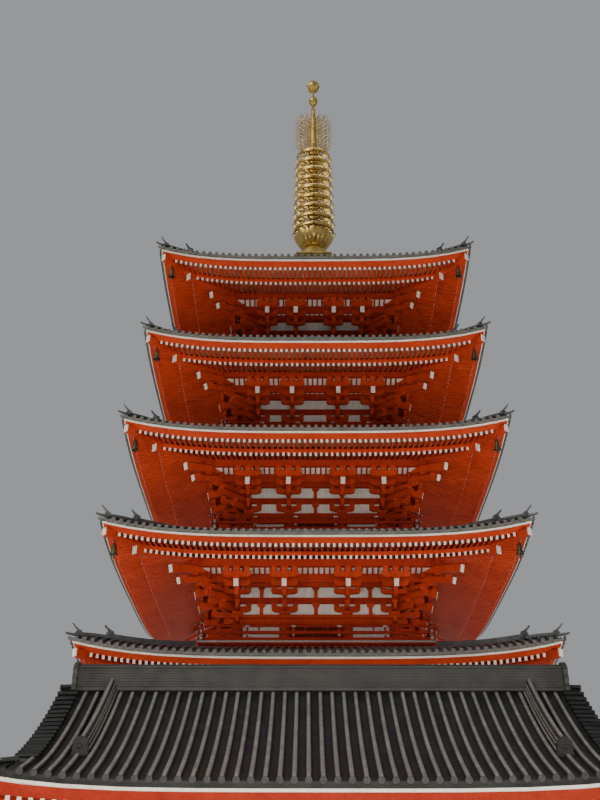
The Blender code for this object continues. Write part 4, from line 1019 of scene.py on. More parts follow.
def spire():
    basin = Shape("spire_basin_box", GOLD, "gilt_bronze", "spire_dew_basin")
    rings = []
    for half, z in (
        (0.98, 37.93), (0.98, 38.12), (0.90, 38.16), (0.86, 38.20), (0.86, 38.80), (0.91, 38.84), (0.91, 38.90),
        (0.99, 38.95), (0.99, 38.99), (1.05, 39.03), (1.05, 39.12), (0.98, 39.148),
    ):
        rings.append([(-half, -half, z), (half, -half, z), (half, half, z), (-half, half, z)])
    basin.loft(np.array(rings), four=False)
    for k in (-1, 0, 1):
        x = 0.56 * k
        for low, high in (((x - 0.24, 38.26), (x + 0.24, 38.31)), ((x - 0.24, 38.69), (x + 0.24, 38.74)),
                          ((x - 0.24, 38.31), (x - 0.19, 38.69)), ((x + 0.19, 38.31), (x + 0.24, 38.69))):
            basin.box((low[0], -0.885, low[1]), (high[0], -0.85, high[1]))
    basin.piece(True, 30)

    bowl = Shape("spire_bowl", GOLD, "gilt_bronze", "spire_bowl_and_lotus")
    bowl.drum((0, 0, 0), [(0.92, 39.16), (0.94, 39.20), (0.92, 39.26), (0.90, 39.36), (0.87, 39.52), (0.79, 39.70),
                          (0.68, 39.84), (0.59, 39.92), (0.57, 39.95), (0.66, 39.97), (0.69, 40.01), (0.66, 40.05),
                          (0.54, 40.08), (0.52, 40.18), (0.50, 40.45), (0.56, 40.66), (0.54, 40.74), (0.30, 40.78),
                          (0.24, 40.90), (0.24, 40.945)], 48, False)
    profile = [(0.56, 40.08), (0.72, 40.17), (0.88, 40.31), (1.00, 40.47), (1.07, 40.62), (1.11, 40.76), (1.15, 40.86), (1.17, 40.93)]
    for tier, count in ((0, 8), (1, 8)):
        for k in range(count):
            mid = (k + 0.5 * tier) * 2 * math.pi / count
            rings = []
            for i, (r, z) in enumerate(profile):
                s = i / (len(profile) - 1)
                half = (math.pi / count) * (0.66 + 0.26 * math.sin(math.pi * min(1.0, s * 1.10))) * (1.0 - 0.06 * tier)
                if s > 0.55:
                    half *= math.sqrt(max(0.0, 1 - ((s - 0.55) / 0.46) ** 2)) + 0.03
                r -= 0.10 * tier * s
                z += 0.02 * tier * s
                row = []
                for t in (-1.0, -0.6, -0.2, 0.2, 0.6, 1.0):
                    bulge = r + 0.17 * (1 - t * t) * (1 - 0.55 * s) - 0.11 * (1 - 0.7 * s)
                    q = mid + half * t
                    row.append((bulge * math.cos(q), bulge * math.sin(q), z))
                for t in (1.0, 0.6, 0.2, -0.2, -0.6, -1.0):
                    q = mid + half * t
                    inner = r + 0.15 * (1 - t * t) * (1 - 0.55 * s) - 0.15 * (1 - 0.7 * s)
                    row.append((inner * math.cos(q), inner * math.sin(q), z + 0.012))
                rings.append(row)
            bowl.loft(np.array(rings), four=False)
    bowl.piece(True, 40)

    wheels = Shape("spire_ring_stack", GOLD, "gilt_bronze", "spire_nine_rings")
    wheels.drum((0, 0, 0), [(0.21, 40.96), (0.19, 47.14)], 20, False)
    for k in range(9):
        z = 41.15 + 5.69 * k / 8
        r = 1.22 - 0.17 * k / 8
        hoop(wheels, z, [(r - 0.10, -0.115), (r - 0.01, -0.12), (r, -0.10), (r - 0.03, -0.07), (r - 0.03, 0.06),
                         (r, 0.09), (r - 0.01, 0.115), (r - 0.10, 0.11)], 48)
        hoop(wheels, z, [(r * 0.60 - 0.03, -0.045), (r * 0.60 + 0.03, -0.045), (r * 0.60 + 0.03, 0.045), (r * 0.60 - 0.03, 0.045)], 32)
        wheels.drum((0, 0, z), [(0.23, -0.22), (0.31, -0.18), (0.345, -0.11), (0.29, -0.06), (0.29, 0.06), (0.345, 0.10), (0.31, 0.17), (0.215, 0.24)], 20, False)
        for m in range(8):
            q = m * math.pi / 4 + math.pi / 8
            u = np.array([math.cos(q), math.sin(q), 0.0])
            v = np.array([-u[1], u[0], 0.0])
            ring = []
            for s, half, tall in ((0.27, 0.05, 0.07), (r * 0.45, 0.035, 0.045), (r * 0.6, 0.06, 0.065), (r * 0.75, 0.035, 0.045), (r - 0.06, 0.05, 0.07)):
                c = np.array([0, 0, z]) + u * s
                ring.append([c - v * half - UP * tall, c + v * half - UP * tall, c + v * half + UP * tall, c - v * half + UP * tall])
            wheels.loft(np.array(ring), four=False)
            q += math.pi / 8
            # a small bell on a hook just outside the rim
            u = np.array([math.cos(q), math.sin(q), 0.0])
            hook = [np.array([0, 0, z + 0.05]) + u * (r - 0.03), np.array([0, 0, z + 0.07]) + u * (r + 0.05), np.array([0, 0, z + 0.0]) + u * (r + 0.07)]
            wheels.tube(hook, [0.016, 0.014, 0.012], 5, False)
            c = (math.cos(q) * (r + 0.07), math.sin(q) * (r + 0.07), z)
            wheels.drum(c, [(0.010, 0.02), (0.03, -0.01), (0.045, -0.08), (0.060, -0.135), (0.045, -0.13)], 8, False)
    wheels.piece(True, 40)

    flame = Shape("spire_flame_openwork", GOLD, "gilt_bronze", "spire_water_flame")
    flame.drum((0, 0, 0), [(0.25, 47.155), (0.27, 47.22), (0.225, 47.29), (0.205, 48.4), (0.175, 49.8), (0.145, 50.6), (0.11, 50.86)], 18, False)
    low, high = 47.17, 50.74

    def reach(z):
        s = (z - low) / (high - low)
        return float(np.interp(s, (0.0, 0.07, 0.17, 0.32, 0.62, 0.78, 0.88, 0.95, 1.0), (0.55, 0.95, 1.13, 1.20, 1.22, 1.17, 1.04, 0.82, 0.40)))

    for turn in range(4):
        u = np.array([math.cos(turn * math.pi / 2), math.sin(turn * math.pi / 2), 0.0])
        # tongues that sweep up and out and curl at their ends
        for k in range(30):
            z0 = low + 0.02 + 2.95 * k / 29
            z1 = min(high - 0.02, z0 + 0.62 + 0.10 * math.sin(2.1 * k))
            tip = reach(z1) * (1.0, 0.86, 0.95)[k % 3]
            path = []
            for s in np.linspace(0, 1, 9):
                out = 0.13 + (tip - 0.13) * (s ** 0.85)
                wave = 0.060 * math.sin(2 * math.pi * s * 1.4 + 0.7 * k)
                path.append(np.array([0, 0, z0 + (z1 - z0) * s ** 1.5 + wave * s * (1.2 - s)]) + u * out)
            flame.tube(path, np.linspace(0.034, 0.011, 9), 5, False)
        # curled shoots between the tongues
        for k in range(19):
            z = low + 0.16 + 3.05 * k / 18
            for m, share in enumerate((0.26, 0.50, 0.74)):
                out = 0.14 + (reach(z) - 0.16) * share
                spiral = []
                for s in np.linspace(0, 1, 10):
                    q = 2 * math.pi * 0.95 * s + 1.3 * k + m
                    rad = 0.105 * (1 - 0.6 * s)
                    spiral.append(np.array([0, 0, z + rad * math.sin(q)]) + u * (out + rad * math.cos(q)))
                flame.tube(spiral, np.linspace(0.020, 0.011, 10), 4, False)
    flame.piece(True, 50)

    jewels = Shape("spire_crowning_jewels", GOLD, "gilt_bronze", "spire_jewels")
    jewels.drum((0, 0, 0), [(0.10, 50.875), (0.14, 50.93), (0.085, 50.99), (0.075, 51.28), (0.13, 51.31), (0.20, 51.36),
                            (0.16, 51.38), (0.215, 51.45), (0.275, 51.55), (0.295, 51.65), (0.275, 51.75), (0.215, 51.85),
                            (0.12, 51.93), (0.075, 51.96), (0.06, 52.05), (0.06, 52.44), (0.15, 52.47), (0.30, 52.56),
                            (0.20, 52.58), (0.28, 52.66), (0.345, 52.76), (0.375, 52.88), (0.37, 52.98), (0.33, 53.09),
                            (0.25, 53.17), (0.15, 53.23), (0.07, 53.27), (0.02, 53.30)], 32, False)
    for k in range(8):
        q = k * math.pi / 4
        u = np.array([math.cos(q), math.sin(q), 0.0])
        path = [np.array([0, 0, 52.55]) + u * 0.26, np.array([0, 0, 52.68]) + u * 0.33, np.array([0, 0, 52.86]) + u * 0.39, np.array([0, 0, 53.02]) + u * 0.44]
        jewels.tube(path, [0.04, 0.035, 0.025, 0.008], 5, False)
    jewels.piece(True, 45)


spire()


# ------------------------------------------------------------------ base of the tower
def base():
    P, H = PODIUM_HALF, PODIUM_HEIGHT
    trim = Shape("podium_mouldings", GRANITE, "granite")
    level_band(trim, P - 0.26, P - 0.06, 0.355, 0.62)
    level_band(trim, P - 0.24, P - 0.12, 0.62, 0.74)
    level_band(trim, P - 0.25, P - 0.10, H - 0.80, H - 0.51)
    for k in range(-9, 10):
        x = k * (P - 0.35) / 9.5
        if abs(x) > 2.9 and min(abs(abs(x) - (P - 0.35) * v) for v in (0.5, 1.0)) > 0.35:
            trim.box((x - 0.14, -P + 0.12, 0.74), (x + 0.14, -P + 0.235, H - 0.80))
    trim.piece(False)
    lip = Shape("terrace_edge", GRANITE, "granite")
    level_band(lip, P - 0.18, P - 0.002, H - 0.10, H + 0.012)
    lip.piece(False)

    rails = Shape("terrace_rails", RED, "vermilion_timber", "terrace_railing")
    caps = Shape("terrace_rail_caps", BRONZE, "gilt_bronze", "terrace_railing")
    r, floor = P - 0.31, H + 0.004
    top = floor + 0.98
    count = 14
    posts = [-r + 2 * r * k / count for k in range(count)]
    for x in posts:
        half = 0.09 if x == -r else 0.065
        tall = top + (0.14 if x == -r else -0.06)
        rails.box((x - half, -r - half, floor), (x + half, -r + half, tall))
        if x == -r:
            caps.drum((x, -r, tall), [(0.10, 0.0), (0.10, 0.03), (0.07, 0.05), (0.09, 0.09), (0.085, 0.14), (0.03, 0.19), (0.005, 0.21)], 16)
        else:
            caps.drum((x, -r, floor), [(0.075, 0.60), (0.075, 0.64)], 8)
    rails.tube([(-r + 0.02, -r, top - 0.06), (r - 0.02, -r, top - 0.06)], 0.06, 12)
    rails.box((-r, -r - 0.04, floor + 0.52), (r, -r + 0.04, floor + 0.60))
    rails.box((-r, -r - 0.05, floor + 0.12), (r, -r + 0.05, floor + 0.24))
    step = 2 * r / count
    for k in range(count):
        for share in (0.33, 0.67):
            x = -r + step * (k + share)
            rails.box((x - 0.03, -r - 0.03, floor + 0.24), (x + 0.03, -r + 0.03, floor + 0.52))
        x = -r + step * (k + 0.5)
        rails.box((x - 0.035, -r - 0.03, floor + 0.60), (x + 0.035, -r + 0.03, top - 0.14))
        block(rails, x, -r, top - 0.17, 0.13, 0.07)
    rails.piece()
    caps.piece()

    T = TOWER_BASE_HALF
    trim = Shape("tower_base_mouldings", GRANITE, "granite")
    level_band(trim, T - 0.03, T + 0.03, H + 0.01, H + 0.18)
    level_band(trim, T - 0.03, T + 0.04, TOWER_FLOOR - 0.16, TOWER_FLOOR + 0.004)
    for sx in (-1, 1):
        # kerbs beside the steps
        x0, x1 = sorted((sx * 1.50, sx * 1.78))
        side = [(-T + 0.01, H + 0.004), (-T - 1.20, H + 0.004), (-T - 1.20, H + 0.18), (-T - 0.10, TOWER_FLOOR + 0.03), (-T + 0.01, TOWER_FLOOR + 0.03)]
        ring = np.array([[(x, y, z) for y, z in side] for x in (x0, x1)])
        trim.loft(ring)
    trim.piece(False)


base()


# ------------------------------------------------------------------ base hall
def hall_top(edge):
    q = np.asarray(edge, float) / HALL_RUN
    return HALL_EAVE_Z + 0.26 + (HALL_RIDGE_FOOT - HALL_EAVE_Z - 0.26) * (0.70 * q + 0.30 * q * q)


def hall_lift(x, dy):
    return HALL_CORNER_RISE * np.minimum(np.abs(x) / HALL_EAVE_X, 1.02) ** 4.4 * np.minimum(np.abs(dy) / HALL_RUN, 1.02) ** 4


def hall_at(x, dy):
    """The hall's tiled surface at x and dy from its ridge line."""
    x, dy = np.asarray(x, float), np.asarray(dy, float)
    fall = HALL_EAVE_X - HALL_GABLE_X
    edge = HALL_RUN - np.abs(dy)
    beyond = np.abs(x) > HALL_GABLE_X + 1e-6
    edge = np.where(beyond, np.minimum(edge, HALL_EAVE_X - np.abs(x)), edge)
    return hall_top(np.maximum(edge, -0.1)) + hall_lift(x, dy)


def hall_points(xs, dys):
    xs, dys = np.broadcast_arrays(np.asarray(xs, float), np.asarray(dys, float))
    return np.stack([xs, HALL_RIDGE_Y + dys, hall_at(xs, dys) - 0.02], axis=1)


def hall():
    R, G, E, Y = HALL_RUN, HALL_GABLE_X, HALL_EAVE_X, HALL_RIDGE_Y
    fall = E - G
    covers = Shape("hall_cover_tiles", TILE_HALL, "grey_tile", "hall_roof")
    # this piece is near-black as painted shade between the cover rows
    pans = Shape("hall_pan_tiles", TILE_PANS_SHADED, "grey_tile", "hall_roof")
    ends = Shape("hall_tile_ends", CAPS_HALL_SHADED, "grey_tile", "hall_roof")
    ridge = Shape("hall_ridges", RIDGE_HALL, "grey_tile", "hall_roof")
    radius = 0.085
    count = round(2 * E / HALL_TILE_GAP)
    gap = 2 * E / count

    def lip(centre, side, out, half):
        shape = [(-0.5 * half, 0.0), (-0.22 * half, -0.045), (0.22 * half, -0.045), (0.5 * half, 0.0),
                 (0.5 * half, -0.08), (0.28 * half, -0.145), (0.0, -0.165), (-0.28 * half, -0.145), (-0.5 * half, -0.08)]
        pans.prism(shape, -0.03, 0.012, (centre, side, UP, out), False)

    for sy in (-1, 1):
        for j in range(count):
            x = -E + gap * (j + 0.5)
            top = 0.28 if abs(x) < G else R - (E - abs(x)) + 0.12
            if top < R - 0.15 and abs(abs(x) - G) > 0.10:
                if G - 0.5 < abs(x) < G:
                    top = R - fall - 0.1
                line = hall_points(x, sy * np.linspace(R + 0.06, top, 15))
                cover_row(covers, line, (1, 0, 0), radius, False)
                end_disc(ends, (x, Y + sy * (R + 0.075), line[0, 2] - 0.012), None, 0, 0.095, 12, (0, sy, 0), False)
            m = x + gap / 2
            top = 0.2 if abs(m) < G else R - (E - abs(m)) + 0.05
            if top < R - 0.05 and abs(m) < E:
                line = hall_points(m, sy * np.linspace(R + 0.03, top, 15))
                pan_row(pans, line, (1, 0, 0), gap, False)
                lip((m, Y + sy * (R + 0.03), line[0, 2]), (1, 0, 0), (0, sy, 0), gap)
    rows = round(2 * (R - 0.1) / HALL_TILE_GAP)
    step = 2 * (R - 0.1) / rows
    for sx in (-1, 1):
        for j in range(rows):
            dy = -(R - 0.1) + step * (j + 0.5)
            inner = max(G - 0.05, E - (R - abs(dy)) + 0.12)
            if inner < E - 0.12:
                line = hall_points(sx * np.linspace(E + 0.06, inner + 0.001, 6), dy)
                cover_row(covers, line, (0, 1, 0), radius, False)
                end_disc(ends, (sx * (E + 0.075), Y + dy, line[0, 2] - 0.012), None, 0, 0.095, 12, (sx, 0, 0), False)
            m = dy + step / 2
            inner = max(G - 0.10, E - (R - abs(m)) + 0.05)
            if inner < E - 0.05:
                line = hall_points(sx * np.linspace(E + 0.03, inner + 0.001, 6), m)
                pan_row(pans, line, (0, 1, 0), step, False)
                lip((sx * (E + 0.03), Y + m, line[0, 2]), (0, 1, 0), (sx, 0, 0), step)
    # the verges: short tiles laid outwards over each gable's edge
    for sx in (-1, 1):
        for sy in (-1, 1):
            dys = np.arange(0.135, R - fall - 0.05, 0.27)
            for dy in dys:
                z = float(hall_at(sx * (G - 0.05), dy)) + 0.13 * max(0.0, 1 - dy / 0.5)
                p = np.array([sx * (G - 0.56), Y + sy * dy, z + 0.02])
                q = np.array([sx * (G + 0.05), Y + sy * dy, z + 0.0])
                cover_row(pans, np.stack([q, p]), (0, 1, 0), 0.10, False)
                end_disc(pans, (sx * (G + 0.062), Y + sy * dy, z + 0.01), None, 0, 0.105, 12, (sx, 0, 0), False)
            side = [(sx * (G - 0.02), z) for z in (0, 1)]
            path = hall_points(sx * (G - 0.24), sy * np.linspace(0.0, R - fall + 0.05, 12))
            ring = []
            for p in path:
                ring.append([p + np.array([-0.26, 0, 0.03]), p + np.array([0.26, 0, 0.03]), p + np.array([0.26, 0, -0.15]), p + np.array([-0.26, 0, -0.15])])
            ridge.loft(np.array(ring), four=False)

    # the bed under the tiles
    for sy in (-1, 1):
        xs = np.concatenate([[-E, -0.5 * (G + E), -G - 0.01], np.linspace(-G, G, 15), [G + 0.01, 0.5 * (G + E), E]])
        ds = np.linspace(0.0, R - 0.01, 13)
        points, faces = [], []
        for x in xs:
            for d in ds:
                points.append((x, Y + sy * d, float(hall_at(x, d)) - 0.085))
        for i in range(len(xs) - 1):
            for j in range(len(ds) - 1):
                if abs(xs[i] + xs[i + 1]) / 2 > G and ds[j] < R - fall - 0.5:
                    continue
                k = i * len(ds) + j
                faces.append((k, k + len(ds), k + len(ds) + 1, k + 1))
        ridge.add(points, faces, False)
    for sx in (-1, 1):
        xs = [sx * v for v in np.linspace(G - 0.3, E - 0.01, 6)]
        ds = np.linspace(-(R - 0.01), R - 0.01, 23)
        points, faces = [], []
        for x in xs:
            for d in ds:
                edge = min(R - abs(d), E - abs(x))
                points.append((x, Y + d, float(hall_top(max(edge, 0)) + hall_lift(x, d)) - 0.09))
        for i in range(len(xs) - 1):
            for j in range(len(ds) - 1):
                k = i * len(ds) + j
                faces.append((k, k + len(ds), k + len(ds) + 1, k + 1))
        ridge.add(points, faces, False)

    # main ridge: flat tiles in courses under a run of cap tiles
    foot, tall = HALL_RIDGE_FOOT - 0.12, HALL_RIDGE_TALL + 0.04
    half = [(0.31, 0.0), (0.31, 0.10), (0.27, 0.13)]
    courses = 7
    for k in range(courses):
        w, z = 0.25 - 0.008 * k, 0.13 + (tall - 0.30) * k / courses
        high = 0.13 + (tall - 0.30) * (k + 1) / courses
        half += [(w + 0.03, z), (w + 0.03, z + 0.055), (w, z + 0.06), (w, high)]
    half += [(0.27, tall - 0.17), (0.27, tall - 0.12)]
    arc = [(0.15 * math.cos(q), tall - 0.13 + 0.13 * math.sin(q)) for q in np.linspace(0.05, math.pi / 2, 5)]
    outline = half + arc + [(-p, h) for p, h in reversed(half + arc[:-1])]
    N = HALL_RIDGE_END
    ridge.prism(outline, -N + 0.10, N - 0.10, ((0, Y, foot), (0, 1, 0), UP, (1, 0, 0)), False)
    for k in range(round(2 * (N - 0.3) / 0.42)):
        x = -N + 0.45 + 0.42 * k
        for sy in (-1, 1):
            end_disc(ridge, (x, Y + sy * 0.29, foot + 0.235), None, 0, 0.060, 10, (0, sy, 0), False)
    for sx in (-1, 1):
        ogre_tile(ridge, (sx * (N - 0.08), Y, foot - 0.02), (sx, 0, 0), 0.98, tall + 0.16, False)
    # ridges that run down the slopes
    for sx in (-1, 1):
        for sy in (-1, 1):
            path = hall_points(sx * HALL_DESCENT_X, sy * np.linspace(0.22, 4.27, 14))
            swept(ridge, path, [(0.20, -0.04), (0.20, 0.05), (0.13, 0.06), (0.13, 0.13), (-0.13, 0.13), (-0.13, 0.06), (-0.20, 0.05), (-0.20, -0.04)], False)
            for off, up, size in ((0.17, 0.05, 0.055), (-0.17, 0.05, 0.055), (0.125, 0.17, 0.05), (-0.125, 0.17, 0.05)):
                cover_row(covers, (path + UP * up + np.array([off, 0.0, 0.0]))[::-1], (1, 0, 0), size, False)
            swept(ridge, path, [(0.09, 0.10), (0.09, 0.40), (-0.09, 0.40), (-0.09, 0.10)], False)
            for off in (0.105, -0.105):
                cover_row(covers, (path + UP * 0.30 + np.array([off, 0.0, 0.0]))[::-1], (1, 0, 0), 0.035, False)
            cover_row(covers, (path + UP * 0.40)[::-1], (1, 0, 0), 0.080, False)
            end = hall_points(np.array([sx * HALL_DESCENT_X]), np.array([sy * 4.32]))[0]
            ogre_tile(pans, end, (0, sy, 0), 0.44, 0.56, False)
            path = []
            for edge in np.linspace(fall + 0.02, 0.30, 8):
                path.append(hall_points(np.array([sx * (E - edge)]), np.array([sy * (R - edge)]))[0])
            swept(ridge, np.array(path) - UP * 0.03, stacked_ridge(1, 0.26, 0.05, 0.075), False)
            end = hall_points(np.array([sx * (E - 0.26)]), np.array([sy * (R - 0.26)]))[0]
            ogre_tile(pans, end, (sx, sy, 0), 0.34, 0.20, False)
            tip = []
            for k in range(5):
                edge = 0.25 - 0.30 * k / 4
                p = hall_points(np.array([sx * (E - edge)]), np.array([sy * (R - edge)]))[0]
                tip.append(p + UP * (0.03 + 0.05 * (k / 4) ** 2))
            ridge.tube(tip, np.linspace(0.075, 0.05, 5), 9, False)
    covers.piece()
    pans.piece()
    ends.piece()
    ridge.piece()

    # gables: barge boards under the verge, and the timbers on the plaster
    boards = Shape("hall_gable_timbers", RED_DEEP, "vermilion_timber")
    for sx in (-1, 1):
        for sy in (-1, 1):
            path = hall_points(sx * (G - 0.16), sy * np.linspace(0.0, R - fall - 0.02, 14)) - UP * 0.22
            ring = []
            for k, p in enumerate(path):
                deep = 0.36 + 0.12 * (k / 13)
                ring.append([p + np.array([-0.05, 0, 0]), p + np.array([0.05, 0, 0]), p + np.array([0.05, 0, -deep]), p + np.array([-0.05, 0, -deep])])
            boards.loft(np.array(ring), four=False)
        x = sx * (G - 0.10)
        z = HALL_RIDGE_FOOT - 0.42
        pendant = [(0.0, 0.0), (0.26, -0.05), (0.34, -0.24), (0.22, -0.36), (0.28, -0.52), (0.10, -0.60), (0.0, -0.86)]
        pendant = pendant + [(-p, q) for p, q in reversed(pendant[1:-1])]
        boards.prism(pendant, -0.04, 0.04, ((x, Y, z), (0, 1, 0), UP, (1, 0, 0)), False)
        face = sx * (HALL_RIDGE_END - 0.52)
        x0, x1 = sorted((face - 0.05 * sx, face + 0.05 * sx))
        low = float(hall_top(E - HALL_RIDGE_END)) - 0.02
        boards.box((x0, Y - 3.9, low), (x1, Y + 3.9, low + 0.22), False)
        boards.box((x0, Y - 2.2, low + 1.05), (x1, Y + 2.2, low + 1.23), False)
        boards.box((x0, Y - 0.11, low + 0.2), (x1, Y + 0.11, HALL_RIDGE_FOOT - 0.5), False)
        for v in (-1.6, 1.6):
            boards.box((x0, Y + v - 0.09, low + 0.2), (x1, Y + v + 0.09, low + 1.06), False)
    boards.piece(False)

    # eaves
    node = "hall_eaves"
    rafters = Shape("hall_rafters", RED, "vermilion_timber", node)
    tips = Shape("hall_rafter_ends", WHITE, "white_plaster", node)
    sheets = Shape("hall_soffit_and_edge_boards", WHITE, "white_plaster", node)
    edge = Shape("hall_eave_boards", RED_DEEP, "vermilion_timber", node)
    seat = Shape("hall_tile_seat", TILE_PANS_SHADED, "grey_tile", node)
    WX, WY = HALL_WALL_X, HALL_WALL_Y
    slope = (WALL_TOP + 0.03 - (HALL_EAVE_Z - 0.42)) / (R - 0.55 - WY - 0.28)
    wide, tall = 0.11, 0.16

    def low(d):
        """Underside of the hall's rafters, d in from the eave's edge."""
        return HALL_EAVE_Z - 0.42 + slope * (d - 0.55)

    def side_run(length, far, place):
        count = round(2 * (length - 0.3) / 0.30)
        gap = 2 * (length - 0.3) / count
        for j in range(count):
            v = -(length - 0.3) + gap * (j + 0.5)
            if abs(v) > length - 0.75:
                continue
            inner = max(0.75, min(far, length - abs(v) - 0.02))
            ds = np.linspace(0.42, inner, 3)
            ring = []
            for d in ds:
                x, y = place(v, d)
                z = low(d) + float(hall_lift(x, y - Y))
                row = []
                for off, up in ((-wide / 2, 0), (wide / 2, 0), (wide / 2, tall), (-wide / 2, tall)):
                    px, py = place(v + off, d)
                    row.append((px, py, z + up))
                ring.append(row)
            rafters.loft(np.array(ring), four=False)
            first = np.array(ring[0])
            mid = first.mean(axis=0)
            x, y = place(v, 0.0)
            x1, y1 = place(v, 1.0)
            out = np.array([x - x1, y - y1, 0.0])
            grown = mid + (first - mid) * 1.04
            tips.loft(np.stack([grown + out * 0.012, grown - out * 0.02]), four=False)

    for sy in (-1, 1):
        side_run(E, R - WY + 0.2, lambda v, d: (v, Y + sy * (R - d)))
    for sx in (-1, 1):
        side_run(R, E - WX + 0.2, lambda v, d: (sx * (E - d), Y + v))

    def hall_band(shape, section, lifted=True, steps=17):
        """section is [(distance in from the eave's edge, z)]; follows the oblong plan."""
        ring = []
        for side in range(4):
            for t in -np.cos(np.linspace(0, math.pi, steps))[:-1]:
                row = []
                for d, z in section:
                    hx, hy = E - d, R - d
                    x, y = ((t * hx, -hy), (hx, t * hy), (-t * hx, hy), (-hx, -t * hy))[side]
                    row.append((x, y + Y, z + (float(hall_lift(x, y)) if lifted else 0.0)))
                ring.append(row)
        ring.append(ring[0])
        shape.loft(np.array(ring), caps=False, four=False)

    far = E - WX + 0.3
    hall_band(sheets, [(0.43, low(0.43) + tall + 0.003), (far, low(far) + tall + 0.003), (far, low(far) + tall + 0.03), (0.43, low(0.43) + tall + 0.03)])
    hall_band(sheets, [(0.14, HALL_EAVE_Z - 0.078), (0.010, HALL_EAVE_Z - 0.080), (0.0, HALL_EAVE_Z - 0.07), (-0.01, HALL_EAVE_Z - 0.005), (0.0, HALL_EAVE_Z + 0.005), (0.14, HALL_EAVE_Z + 0.005)])
    # the tile seat: a near-black strip under the tile ends, painted shade
    hall_band(seat, [(0.30, HALL_EAVE_Z + 0.0), (0.055, HALL_EAVE_Z + 0.006), (0.04, HALL_EAVE_Z + 0.02), (0.035, HALL_EAVE_Z + 0.17), (0.30, HALL_EAVE_Z + 0.18)])
    z = low(0.42) + tall
    hall_band(edge, [(0.52, z), (0.42, z - 0.005), (0.38, z + 0.02), (0.10, HALL_EAVE_Z - 0.082), (0.10, HALL_EAVE_Z - 0.02), (0.52, HALL_EAVE_Z - 0.02)])
    for sx in (-1, 1):
        for sy in (-1, 1):
            ring = []
            side = np.array([-sy, sx, 0.0]) / math.sqrt(2)
            for d in np.linspace(E - WX + 0.1, 0.18, 6):
                p = np.array([sx * (E - d), Y + sy * (R - d), 0.0])
                z = low(d) - 0.14 + float(hall_lift(p[0], p[1] - Y))
                p = p + UP * z
                ring.append([p - side * 0.11, p + side * 0.11, p + side * 0.11 + UP * 0.30, p - side * 0.11 + UP * 0.30])
            rafters.loft(np.array(ring), four=False)
            tip = np.array(ring[-1])
            out = np.array([sx, sy, 0.0]) / math.sqrt(2)
            mid = tip.mean(axis=0)
            tips.loft(np.stack([mid + (tip - mid) * 1.03 + out * 0.015, mid + (tip - mid) * 1.03 - out * 0.03]), four=False)
    for shape in (rafters, tips, sheets, edge, seat):
        shape.piece(False)

    # columns, beams and simple brackets
    frame_ = Shape("hall_columns_and_beams", RED, "vermilion_timber", "hall_frame")
    feet = Shape("hall_column_feet", BRONZE, "gilt_bronze", "hall_frame")
    for sy in (-1, 1):
        for k in (-1.0, -0.6, -0.2, 0.2, 0.6, 1.0):
            x = math.copysign(LINK_HALF + 0.35, k) if sy > 0 and abs(k) < 0.5 else k * WX
            y = Y + sy * WY
            frame_.drum((x, y, 0), [(0.235, HALL_FLOOR + 0.005), (0.235, WALL_TOP - 0.62), (0.21, WALL_TOP - 0.50)], 24, False)
            feet.drum((x, y, 0), [(0.25, HALL_FLOOR + 0.005), (0.25, HALL_FLOOR + 0.16), (0.238, HALL_FLOOR + 0.17)], 24, False)
            block(frame_, x, y, WALL_TOP - 0.34, 0.46, 0.14, False)
            frame_.prism(arm_outline(0.62, 0.17), -0.08, 0.08, ((x, y, WALL_TOP - 0.21), (1, 0, 0), UP, (0, 1, 0)), False)
            frame_.prism(arm_outline(0.62, 0.17), -0.08, 0.08, ((x, y, WALL_TOP - 0.21), (0, 1, 0), UP, (1, 0, 0)), False)

    def wall_band(out0, out1, z0, z1):
        ring = []
        for sx, sy in ((-1, -1), (1, -1), (1, 1), (-1, 1), (-1, -1)):
            ring.append([(sx * (WX + d), Y + sy * (WY + d), z) for d, z in ((out0, z0), (out1, z0), (out1, z1), (out0, z1))])
        frame_.loft(np.array(ring), caps=False, four=False)

    wall_band(-0.26, 0.20, WALL_TOP - 0.04, WALL_TOP + 0.12)
    wall_band(-0.16, 0.14, WALL_TOP - 0.72, WALL_TOP - 0.48)
    wall_band(-0.26, 0.24, WALL_TOP - 0.46, WALL_TOP - 0.36)
    for sx in (-1, 1):
        for z0, z1 in ((HALL_FLOOR + 0.01, HALL_FLOOR + 0.22), (2.1, 2.28), (HALL_FLOOR + 3.45, HALL_FLOOR + 3.70)):
            x0, x1 = sorted((sx * (WX - 0.18), sx * (WX + 0.16)))
            frame_.box((x0, Y - WY, z0), (x1, Y + WY, z1), False)
            for sy in (-1, 1):
                y0, y1 = Y + sy * WY - 0.16, Y + sy * WY + 0.16
                a, b = sorted((sx * (0.6 * WX if sy < 0 else LINK_HALF + 0.35), sx * WX))
                frame_.box((a, y0, z0), (b, y1, z1), False)
    for k in (-0.4, 0.0, 0.4):
        x, half = k * WX, 0.2 * WX
        y = Y - WY
        frame_.box((x - half, y - 0.15, HALL_FLOOR + 3.45), (x + half, y + 0.15, HALL_FLOOR + 3.75), False)
        frame_.box((x - half + 0.22, y - 0.10, HALL_FLOOR + 0.005), (x - half + 0.34, y + 0.10, HALL_FLOOR + 3.45), False)
        frame_.box((x + half - 0.34, y - 0.10, HALL_FLOOR + 0.005), (x + half - 0.22, y + 0.10, HALL_FLOOR + 3.45), False)
    frame_.piece()
    feet.piece()


hall()

# the carried-over CAD pieces take the same materials as the new ones
for name, look in (
    ("podium_floor", GRANITE), ("podium_walls", GRANITE), ("podium_terrace", PAVING), ("tower_base", GRANITE),
    ("hall_floor", PAVING), ("hall_walls", PLASTER), ("hall_passage", PLASTER), ("hall_gable_left", PLASTER),
    ("hall_gable_right", PLASTER),
):
    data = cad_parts[name].data
    data.materials.clear()
    data.materials.append(look)

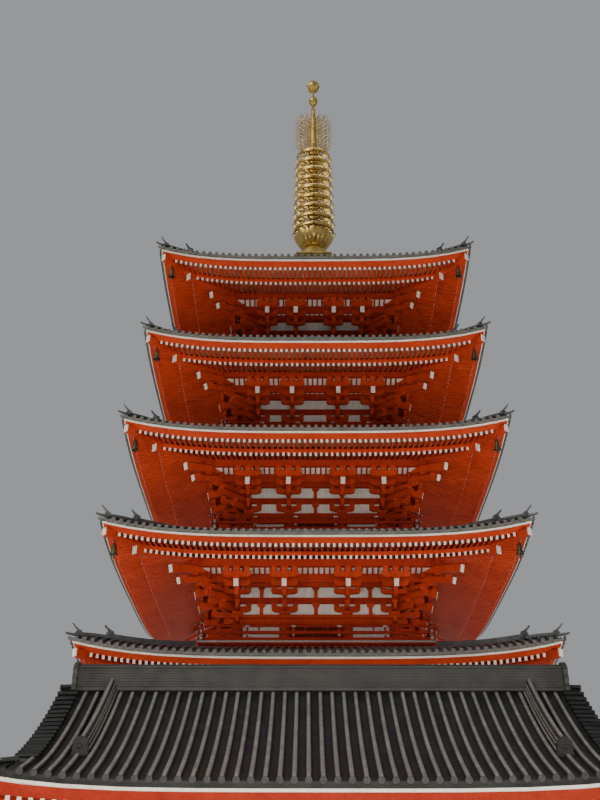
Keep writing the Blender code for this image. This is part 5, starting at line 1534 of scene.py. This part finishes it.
# ------------------------------------------------------------------ floor, light, camera
floor = bpy.data.meshes.new("floor")
floor.from_pydata([(-150, -150, -0.004), (150, -150, -0.004), (150, 150, -0.004), (-150, 150, -0.004)], [], [(0, 1, 2, 3)])
floor = bpy.data.objects.new("floor", floor)
bpy.context.scene.collection.objects.link(floor)
pale, tree, shader = shader_nodes("pale_floor")
shader.inputs["Base Color"].default_value = (0.72, 0.71, 0.69, 1)
shader.inputs["Roughness"].default_value = 0.9
floor.data.materials.append(pale)

world = bpy.data.worlds.new("studio")
bpy.context.scene.world = world
world.use_nodes = True
world.node_tree.nodes["Background"].inputs["Color"].default_value = (0.60, 0.62, 0.65, 1)
world.node_tree.nodes["Background"].inputs["Strength"].default_value = 0.55


def area(name, place, target, size, power, colour=(1, 1, 1)):
    light = bpy.data.lights.new(name, "AREA")
    light.shape = "SQUARE"
    light.size = size
    light.energy = power
    light.color = colour
    made = bpy.data.objects.new(name, light)
    made.location = place
    made.rotation_euler = (Vector(target) - Vector(place)).to_track_quat("-Z", "Y").to_euler()
    bpy.context.scene.collection.objects.link(made)


area("low_front", (0, -19.5, 0.5), (0, -4, 16), 9, 2600, (1.0, 0.96, 0.90))
area("low_left", (-15, -12, 0.5), (-1, -1, 13), 8, 2600, (1.0, 0.96, 0.90))
area("low_right", (15, -12, 0.5), (1, -1, 13), 8, 2600, (1.0, 0.96, 0.90))
area("high_key", (-28, -34, 46), (0, 0, 10), 24, 9000, (1.0, 0.98, 0.95))
area("low_back", (0, 20, 0.5), (0, 0, 12), 10, 2600, (1.0, 0.96, 0.90))

camera = bpy.data.cameras.new("camera")
camera.lens = 49.5
camera.sensor_width = 36.0
camera.clip_end = 500.0
holder = bpy.data.objects.new("camera", camera)
holder.location = (-0.2015, -26.98, 0.80)
aim = Euler((math.radians(117.65), 0.0, math.radians(0.423))).to_matrix() @ Matrix.Rotation(math.radians(0.143), 3, "Z")
holder.rotation_euler = aim.to_euler()
bpy.context.scene.collection.objects.link(holder)
bpy.context.scene.camera = holder
